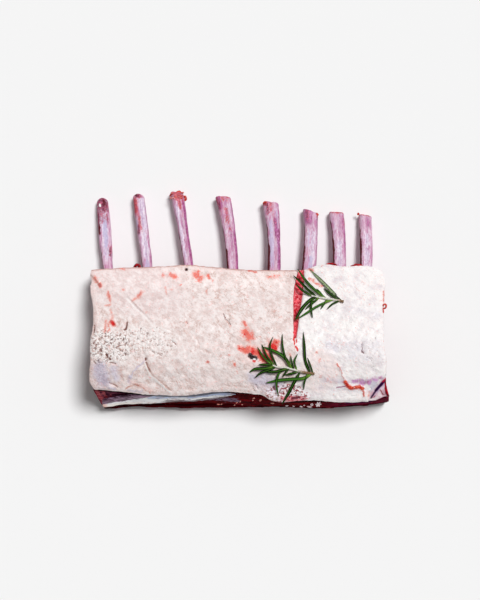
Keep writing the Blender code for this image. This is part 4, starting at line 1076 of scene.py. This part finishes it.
# Width, thickness, then points in space
EDGE_SCRAPS = [
    (2, 1.5, -53.8, 79.4, 8, -52.2, 80, 8.4, -50, 79.4, 8.6),
    (2.4, 1.6, -49, 81.6, 7.6, -46.6, 82.2, 8, -44.6, 81.2, 7.6),
    (2, 1.6, -43.6, 78.9, 8, -41.6, 78.4, 8.4, -41.6, 76.4, 8.4, -43.4, 75.6, 8.2),
    (1.3, 1.5, 105.6, -5.2, 39, 105.9, -3.4, 39.2, 107.5, -3.2, 38.6, 107.9, -5, 38.2, 106.7, -6.3, 38.4,
     105.3, -5.9, 38.9),
    (1.3, 1.4, 105.6, -5.4, 38.9, 105.5, -7.6, 39.3, 105.9, -9.8, 39.8),
    (1.3, 1, 58.8, 22, 29.6, 60.2, 24, 29, 62.4, 25.8, 27.6),
    (2.2, 2.2, 57.2, 65.9, 8.4, 58.6, 65.2, 8.6, 59.9, 64.6, 8.6),
    (1.9, 1.8, 90.2, 64.6, 6.2, 90.2, 65.6, 6.6, 90.3, 66.6, 6.2),
    (1.5, 1.4, 17.4, 73.4, 11, 18.6, 74.2, 11.4, 20.4, 73.8, 11.6)]
CLOTS = [
    (2.2, 2.6, -79.8, 20.5, 21.8, -78.8, 25.2, 22.6, -77.2, 26.6, 22.8, -75.6, 25.2, 22.6, -74.4, 20.5, 21.8),
    (2.2, 2.4, 62.6, 22.5, 23, 64.6, 26, 23.6, 67.5, 26.9, 24, 71.4, 26.3, 23.6, 73.4, 22.5, 23),
    (2.6, 2.4, 82, 21.5, 23.4, 84, 25, 24.2, 87.4, 25.7, 24.4, 91.4, 25.2, 24.2, 93.4, 21.5, 23.4),
    (1.6, 1.6, 84.6, 25.4, 24, 86.6, 26.4, 24.6, 89, 26, 24)]
shred = Finish("shreds", Specular_IOR_Level=0.05, Coat_Roughness=0.12, Coat_Weight=0.1)
pool = shred.noise(1.6, detail=4, rough=0.6)
shred.coat(1, (168, 22, 26), (228, 96, 82), pool, 0.38, 0.62)
shred.coat(shred.mark("pale") * pool.step(0.4, 0.5) * 0.9, (240, 200, 200))
shred.show(0.3, pool, 0.4)
fray = np.random.default_rng(81)
scraps = []
for _ in range(13):
    x, y = -48.2 + fray.uniform(-5.2, 4.8), fray.uniform(76.5, 81.4)
    z = rib_height(-48, y) + 3 + fray.uniform(-1.2, 0.4)
    dx, dy = fray.uniform(-1, 1), fray.uniform(0.6, 1.8)
    top = min(y + dy, 82.2)
    route = x, y, z, x + dx * 0.6, (y + top) / 2, z + 0.3, x + dx, top, z - 0.5
    width, thick = fray.uniform(1.8, 3.4), fray.uniform(0.6, 0.9)
    scraps.append(ribbon(width, thick, *route, taper=0.7, pale=fray.uniform(0, 1)))
new_piece("red_scraps", gathered(scraps + [ribbon(*scrap) for scrap in EDGE_SCRAPS]), shred, "lean")
clot = Finish("dark_blood", Specular_IOR_Level=0.1, Coat_Roughness=0.12, Coat_Weight=0.1)
pool = clot.noise(1.5, detail=4, rough=0.6)
clot.coat(1, (92, 2, 10), (190, 14, 30), pool, 0.4, 0.62)
clot.show(0.3, pool, 0.4)
new_piece("dark_scraps", gathered([ribbon(*scrap) for scrap in CLOTS]), clot, "lean")


# The crumbs. Flecks of white fat that fell on the chine side as the fat was trimmed, pressed on the lean.
# Those towards the shoulder end are whiter.
def face_height(x, y):
    """Height on the chine face at a point seen from above: chine_face turned about."""
    near, far = meat_chine_edge(x) + FACE_FOOT_IN, fat_chine_edge(x) + FACE_TOP_IN
    share = np.clip((y - near) / (far - near), 0, 1) ** (1 / FACE_LEAN)
    return mix(over_ribs(x, CHINE_Y), under_cap(x, fat_chine_edge(x)), share)


# Place, length, width and turn in degrees
CRUMBS = [
    (54, -78.6, 2.2, 2, 0), (58.9, -78.4, 5, 1.5, 62), (58.9, -78.4, 5, 1.4, 4), (58.9, -78.4, 4.8, 1.4, 118),
    (52.4, -80.6, 4.2, 1.1, -8), (46.2, -80.4, 2.4, 1, -25), (48.4, -79.2, 1.2, 0.8, 10),
    (10.3, -73.4, 2, 1, 20), (15.4, -75, 2.2, 1.3, 25), (24.4, -77.6, 2.9, 0.9, -5), (9.6, -75, 1.2, 0.7, 0),
    (35.5, -80, 2, 0.8, 10), (40.4, -80.2, 1.6, 0.7, -12), (-16.4, -78.6, 2.2, 0.8, -4),
    (-13.8, -78.4, 1, 0.7, 30), (-2.4, -77.2, 1.5, 0.8, 35), (-4, -79.3, 1.2, 0.6, 5),
    (0.2, -76.2, 1.2, 0.6, 60), (1.6, -79, 1, 0.6, 0)]
flecks = []
for x, y, long, wide, turn in CRUMBS:
    along = np.array([-1, 0, 1]) * long / 2
    route_x, route_y = x + along * np.cos(np.radians(turn)), y + along * np.sin(np.radians(turn))
    route = np.stack([route_x, route_y, face_height(route_x, route_y) + [0.6, 1, 0.6]], -1)
    flecks.append(ribbon(wide, 1.1, *route.ravel(), taper=0.9, turns=12, rings=10, pale=x > 30))
# Painted light: the crumbs glow a little with their own colour, which brightens them on the steep chine face
morsel = Finish("fat_crumbs", Specular_IOR_Level=0.3, Emission_Strength=0.22)
curd = morsel.noise(0.8)
morsel.coat(1, (196, 84, 70), (246, 196, 180), curd, 0.4, 0.6)
morsel.coat(morsel.mark("pale"), (232, 160, 172), (255, 248, 250), curd, 0.34, 0.52)
morsel.show(0.4, curd, 0.3, glow=morsel.colour)
new_piece("fat_crumbs", gathered(flecks), morsel, "fat")


# The rosemary. Two sprigs laid on the fat: a woody stem, felted white where it is young, and narrow needles
# with their edges rolled under, dark and glossy on top and pale with a raised rib beneath.
# A needle's numbers are its width, its roll in degrees from top up, and its route from the stem to the tip.
UPPER_STEM = (76.4, -1.1, 68.7, 0.4, 60, 1.6, 52.5, 3.2)
UPPER_LEAVES = [
    (2.5, 150, 75.1, 1.2, 61.2, 13.4, 52, 22.7), (1.9, 20, 73.1, 1.2, 66.5, 4.6, 62, 8.8),
    (2.1, 15, 63.8, 0.9, 56.5, 6.5, 48.8, 14.3, 42.8, 23.1),
    (2.2, -20, 56.8, 4.3, 49.7, 8.2, 45, 13.1, 39.7, 18.2), (1.8, 10, 53, 4, 46.1, 7.1, 41.4, 11.7),
    (1.4, 0, 62.6, 2.6, 59, 5.8, 56.7, 8.5), (2.8, 0, 57, 3, 53.9, 1.2, 48.1, -3.4, 44.3, -8.2, 40.4, -15.1),
    (2, 25, 58.5, 1.4, 55.4, -0.6, 51.1, -4, 48, -7),
    (1.9, 30, 68.9, 0.2, 60.8, -2.6, 55.1, -5.6, 48.9, -9.5, 41.6, -14.2),
    (1.6, 0, 55.5, 2.4, 53.2, -0.5, 52.3, -5.9, 53.2, -13.2), (1.4, 0, 64.5, 0.9, 62.2, -2.4, 59.1, -7),
    (1.5, 10, 73.5, -0.4, 68.2, -2.8, 63.8, -7)]
LOWER_STEM = (54.2, -53.7, 47, -52.8, 40, -50.9, 33.4, -49.2, 27, -48.7, 23.6, -47.2)
LOWER_LEAVES = [
    (2.2, -30, 51.3, -53.1, 47.8, -45.2, 46.8, -33.2, 46.3, -23.4),
    (1.3, 0, 53.4, -53.3, 51, -47.2, 49.1, -42), (1.5, 0, 41.3, -50.8, 39.6, -44.6, 41.9, -39.1),
    (1.4, 0, 38.9, -50.2, 37.6, -45.4, 36.8, -40.3),
    (1.8, 15, 37.1, -49.8, 32.8, -41.4, 30.9, -33.2, 30.9, -24.8),
    (2.5, 0, 38.3, -50, 31.2, -40.7, 24, -36.8, 17.2, -34.2),
    (1.6, 0, 26.9, -48.3, 23.1, -40, 21.8, -33.2, 23.9, -26.9),
    (1.7, 20, 25.3, -47.6, 19.5, -40.7, 15.9, -32.3), (1.7, -15, 23.9, -46.9, 17.2, -41.6, 12.7, -34.2),
    (2, 10, 24.2, -47.4, 19.5, -46.9, 13.6, -47), (2.6, 0, 26, -48.7, 17.2, -49.8, 10, -50.5, 6.8, -52.7),
    (2, 10, 26.5, -49, 20.5, -51, 14.9, -53.1, 10.7, -56.9), (2.4, 0, 35.1, -49.9, 25.3, -52.1, 16.5, -52.1),
    (1.8, 0, 34.4, -49.8, 28.6, -53.1, 26.6, -60.9, 28.3, -70.6), (1.6, 0, 35.8, -50.2, 33, -53, 30.9, -56.3),
    (2, 20, 42.9, -51.8, 38.5, -53.2, 32.8, -54.7),
    (2.8, 0, 52.6, -54, 46.5, -56.9, 38.3, -57.6, 28.6, -58.5, 18.9, -60.5),
    (2.5, 15, 43.6, -52.2, 39.6, -59.9, 36, -67.3, 30.8, -77), (1.5, 0, 49.5, -53.5, 46.9, -60.2, 46.5, -66)]
STEM_RADIUS, STEM_REST = 0.95, 1.45


def stem_height(x, y):
    """The height of the stem's middle, which clears the fat's relief."""
    return skin(x, y) + STEM_REST


def leaf_skin(number, stem, width, roll, *route):
    """A rolled-edge section, turned by roll about the needle's line, which arches from the stem over the fat.

    The top is a low dome with a groove along its middle. The back is hollow between the two thick rolled
    edges, with a rib along its middle.
    """
    socket = stem[np.argmin(((stem - route[:2]) ** 2).sum(1))]
    line, ahead = line_through([*socket, *route[2:]], 2, 30)
    x, y = line.T[:, :, None]
    share = np.linspace(0, 1, 30)[:, None]
    lift = 0.13 * (number % 5 - 2) + 1.5 * np.sin(np.pi * share)
    z = mix(stem_height(x, y), skin(x, y) + 1.2, ease(share / 0.3)) + lift
    across = np.append(np.linspace(1, -1, 11), np.linspace(-0.97, 0.97, 11))
    back = np.arange(22) > 10
    dome = 0.34 * (1 - np.abs(across) ** 2.2) + 0.1 - 0.2 * bell(across, 0.16)
    hollow = 0.02 - 0.42 * bell(np.abs(across) - 0.72, 0.3) - 0.3 * bell(across, 0.14)
    tip = np.sqrt(1 - (np.maximum(share - 0.55, 0) / 0.455) ** 4) * mix(1, 0.62, ease((share - 0.62) / 0.38))
    half = width * 0.47 * mix(0.5, 1, ease(share / 0.18)) * tip
    side, rise = across * half, np.where(back, hollow, dome) * mix(0.9, 0.5, ease((share - 0.8) / 0.2))
    rise = rise * np.minimum(half, 1.2)
    turn = np.radians(roll) * ease(share / 0.25) + 0.2 * np.sin(share * 4 + number)
    flat, high = side * np.cos(turn) - rise * np.sin(turn), side * np.sin(turn) + rise * np.cos(turn)
    return wrapped(
        x - ahead[:, 1:] * flat, y + ahead[:, :1] * flat, z + high, along=share, back=back,
        rib=bell(across, 0.26), rim=ease((np.abs(across) - 0.55) / 0.3), young=number * 0.37 % 1)


def stem_skin(route, woody):
    """A ring carried along the stem, knotted, thinner to its tip and woody up to this share."""
    line, ahead = line_through(route, 2, 60)
    x, y = line.T[:, :, None]
    share, angle = np.linspace(0, 1, 60)[:, None], around(14)
    knots = 1 + 0.22 * ripple(share * 40, angle * 1.5, 1.5, 91) + 0.2 * np.cos(share * 40) ** 8
    radius = STEM_RADIUS * mix(1, 0.6, share) * knots
    flat = radius * np.cos(angle)
    z = stem_height(x, y) + radius * np.sin(angle)
    x, y = x - ahead[:, 1:] * flat, y + ahead[:, :1] * flat
    return wrapped(x, y, z, woody=1 - ease((share - woody) / 0.25))


needle = Finish("rosemary_needles", Specular_IOR_Level=0.03, Coat_Roughness=0.25, Coat_Weight=0.02)
speck, sheen = needle.noise(0.7), needle.noise(3)
needle.coat(1, (0, 6, 1), (10, 38, 6), sheen, 0.4, 0.66)
needle.coat((needle.mark("young") + sheen * 0.5).step(0.75, 1.2) * 0.6, (56, 112, 34))
needle.coat(needle.mark("along").step(0.34, 0.04) * needle.mark("young").step(0.2, 0.8) * 0.7, (142, 178, 72))
needle.coat(needle.mark("rib") * 0.5, (92, 146, 50))
needle.coat(needle.mark("rim") * 0.9, (3, 10, 5))
needle.coat(needle.mark("back") * (needle.mark("rib") * 0.5 + speck * 0.4).step(0.1, 0.35), (140, 166, 112),
            (196, 212, 172), speck, 0.4, 0.6)
needle.coat(needle.mark("along").step(0.94, 1) * 0.5, (74, 50, 22))
needle.show(0.4 + speck * 0.2, speck, 0.15)
twig = Finish("rosemary_stem", Specular_IOR_Level=0.1)
felt = twig.noise(0.7, detail=4, rough=0.7)
twig.coat(1, (186, 182, 164), (244, 242, 236), felt, 0.35, 0.65)
twig.coat(twig.mark("woody"), (84, 58, 40), (164, 134, 100), felt, 0.35, 0.65)
twig.show(0.7, felt, 0.3)
for name, stem, leaves, woody in (
        ("upper", UPPER_STEM, UPPER_LEAVES, 0.06), ("lower", LOWER_STEM, LOWER_LEAVES, 0.22)):
    sockets, _ = line_through(stem, 2, 61)
    needles = gathered([leaf_skin(number, sockets, *leaf) for number, leaf in enumerate(leaves)])
    new_piece(f"{name}_needles", needles, needle, "rosemary", f"rosemary_{name}")
    new_piece(f"{name}_stem", stem_skin(stem, woody), twig, "rosemary")


# The table, the light and the camera. A plain white table top, one soft lamp from the right and a little from
# beyond the ribs, white surroundings, and a camera straight overhead.
scene = bpy.context.scene
table = bpy.data.meshes.new("table")
table.from_pydata([(-3, -3, 0), (3, -3, 0), (3, 3, 0), (-3, 3, 0)], [], [(0, 1, 2, 3)])
paper = Finish("white_table", Base_Color=(0.93, 0.93, 0.93, 1), Roughness=0.9, Specular_IOR_Level=0.1)
table.materials.append(paper.material)
table_top = bpy.data.objects.new("table_top", table)
scene.collection.objects.link(table_top)

towards_lamp = Vector((0.32, 0.41, 1))
lamp = bpy.data.lights.new("soft_lamp", "SUN")
lamp.energy, lamp.angle = 2.7, np.radians(18)
lamp_holder = bpy.data.objects.new("soft_lamp", lamp)
lamp_holder.rotation_euler = towards_lamp.to_track_quat("Z", "Y").to_euler()
scene.collection.objects.link(lamp_holder)

surroundings = bpy.data.worlds.new("white_surroundings")
surroundings.use_nodes = True
background = surroundings.node_tree.nodes["Background"].inputs
background["Color"].default_value, background["Strength"].default_value = (1, 1, 1, 1), 0.22
scene.world = surroundings
scene.view_settings.view_transform = "Standard"

camera = bpy.data.cameras.new("camera")
camera.lens, camera.sensor_width = 78.12, 36
camera_holder = bpy.data.objects.new("camera", camera)
camera_holder.location = (0, 0, 1)
scene.collection.objects.link(camera_holder)
scene.camera = camera_holder
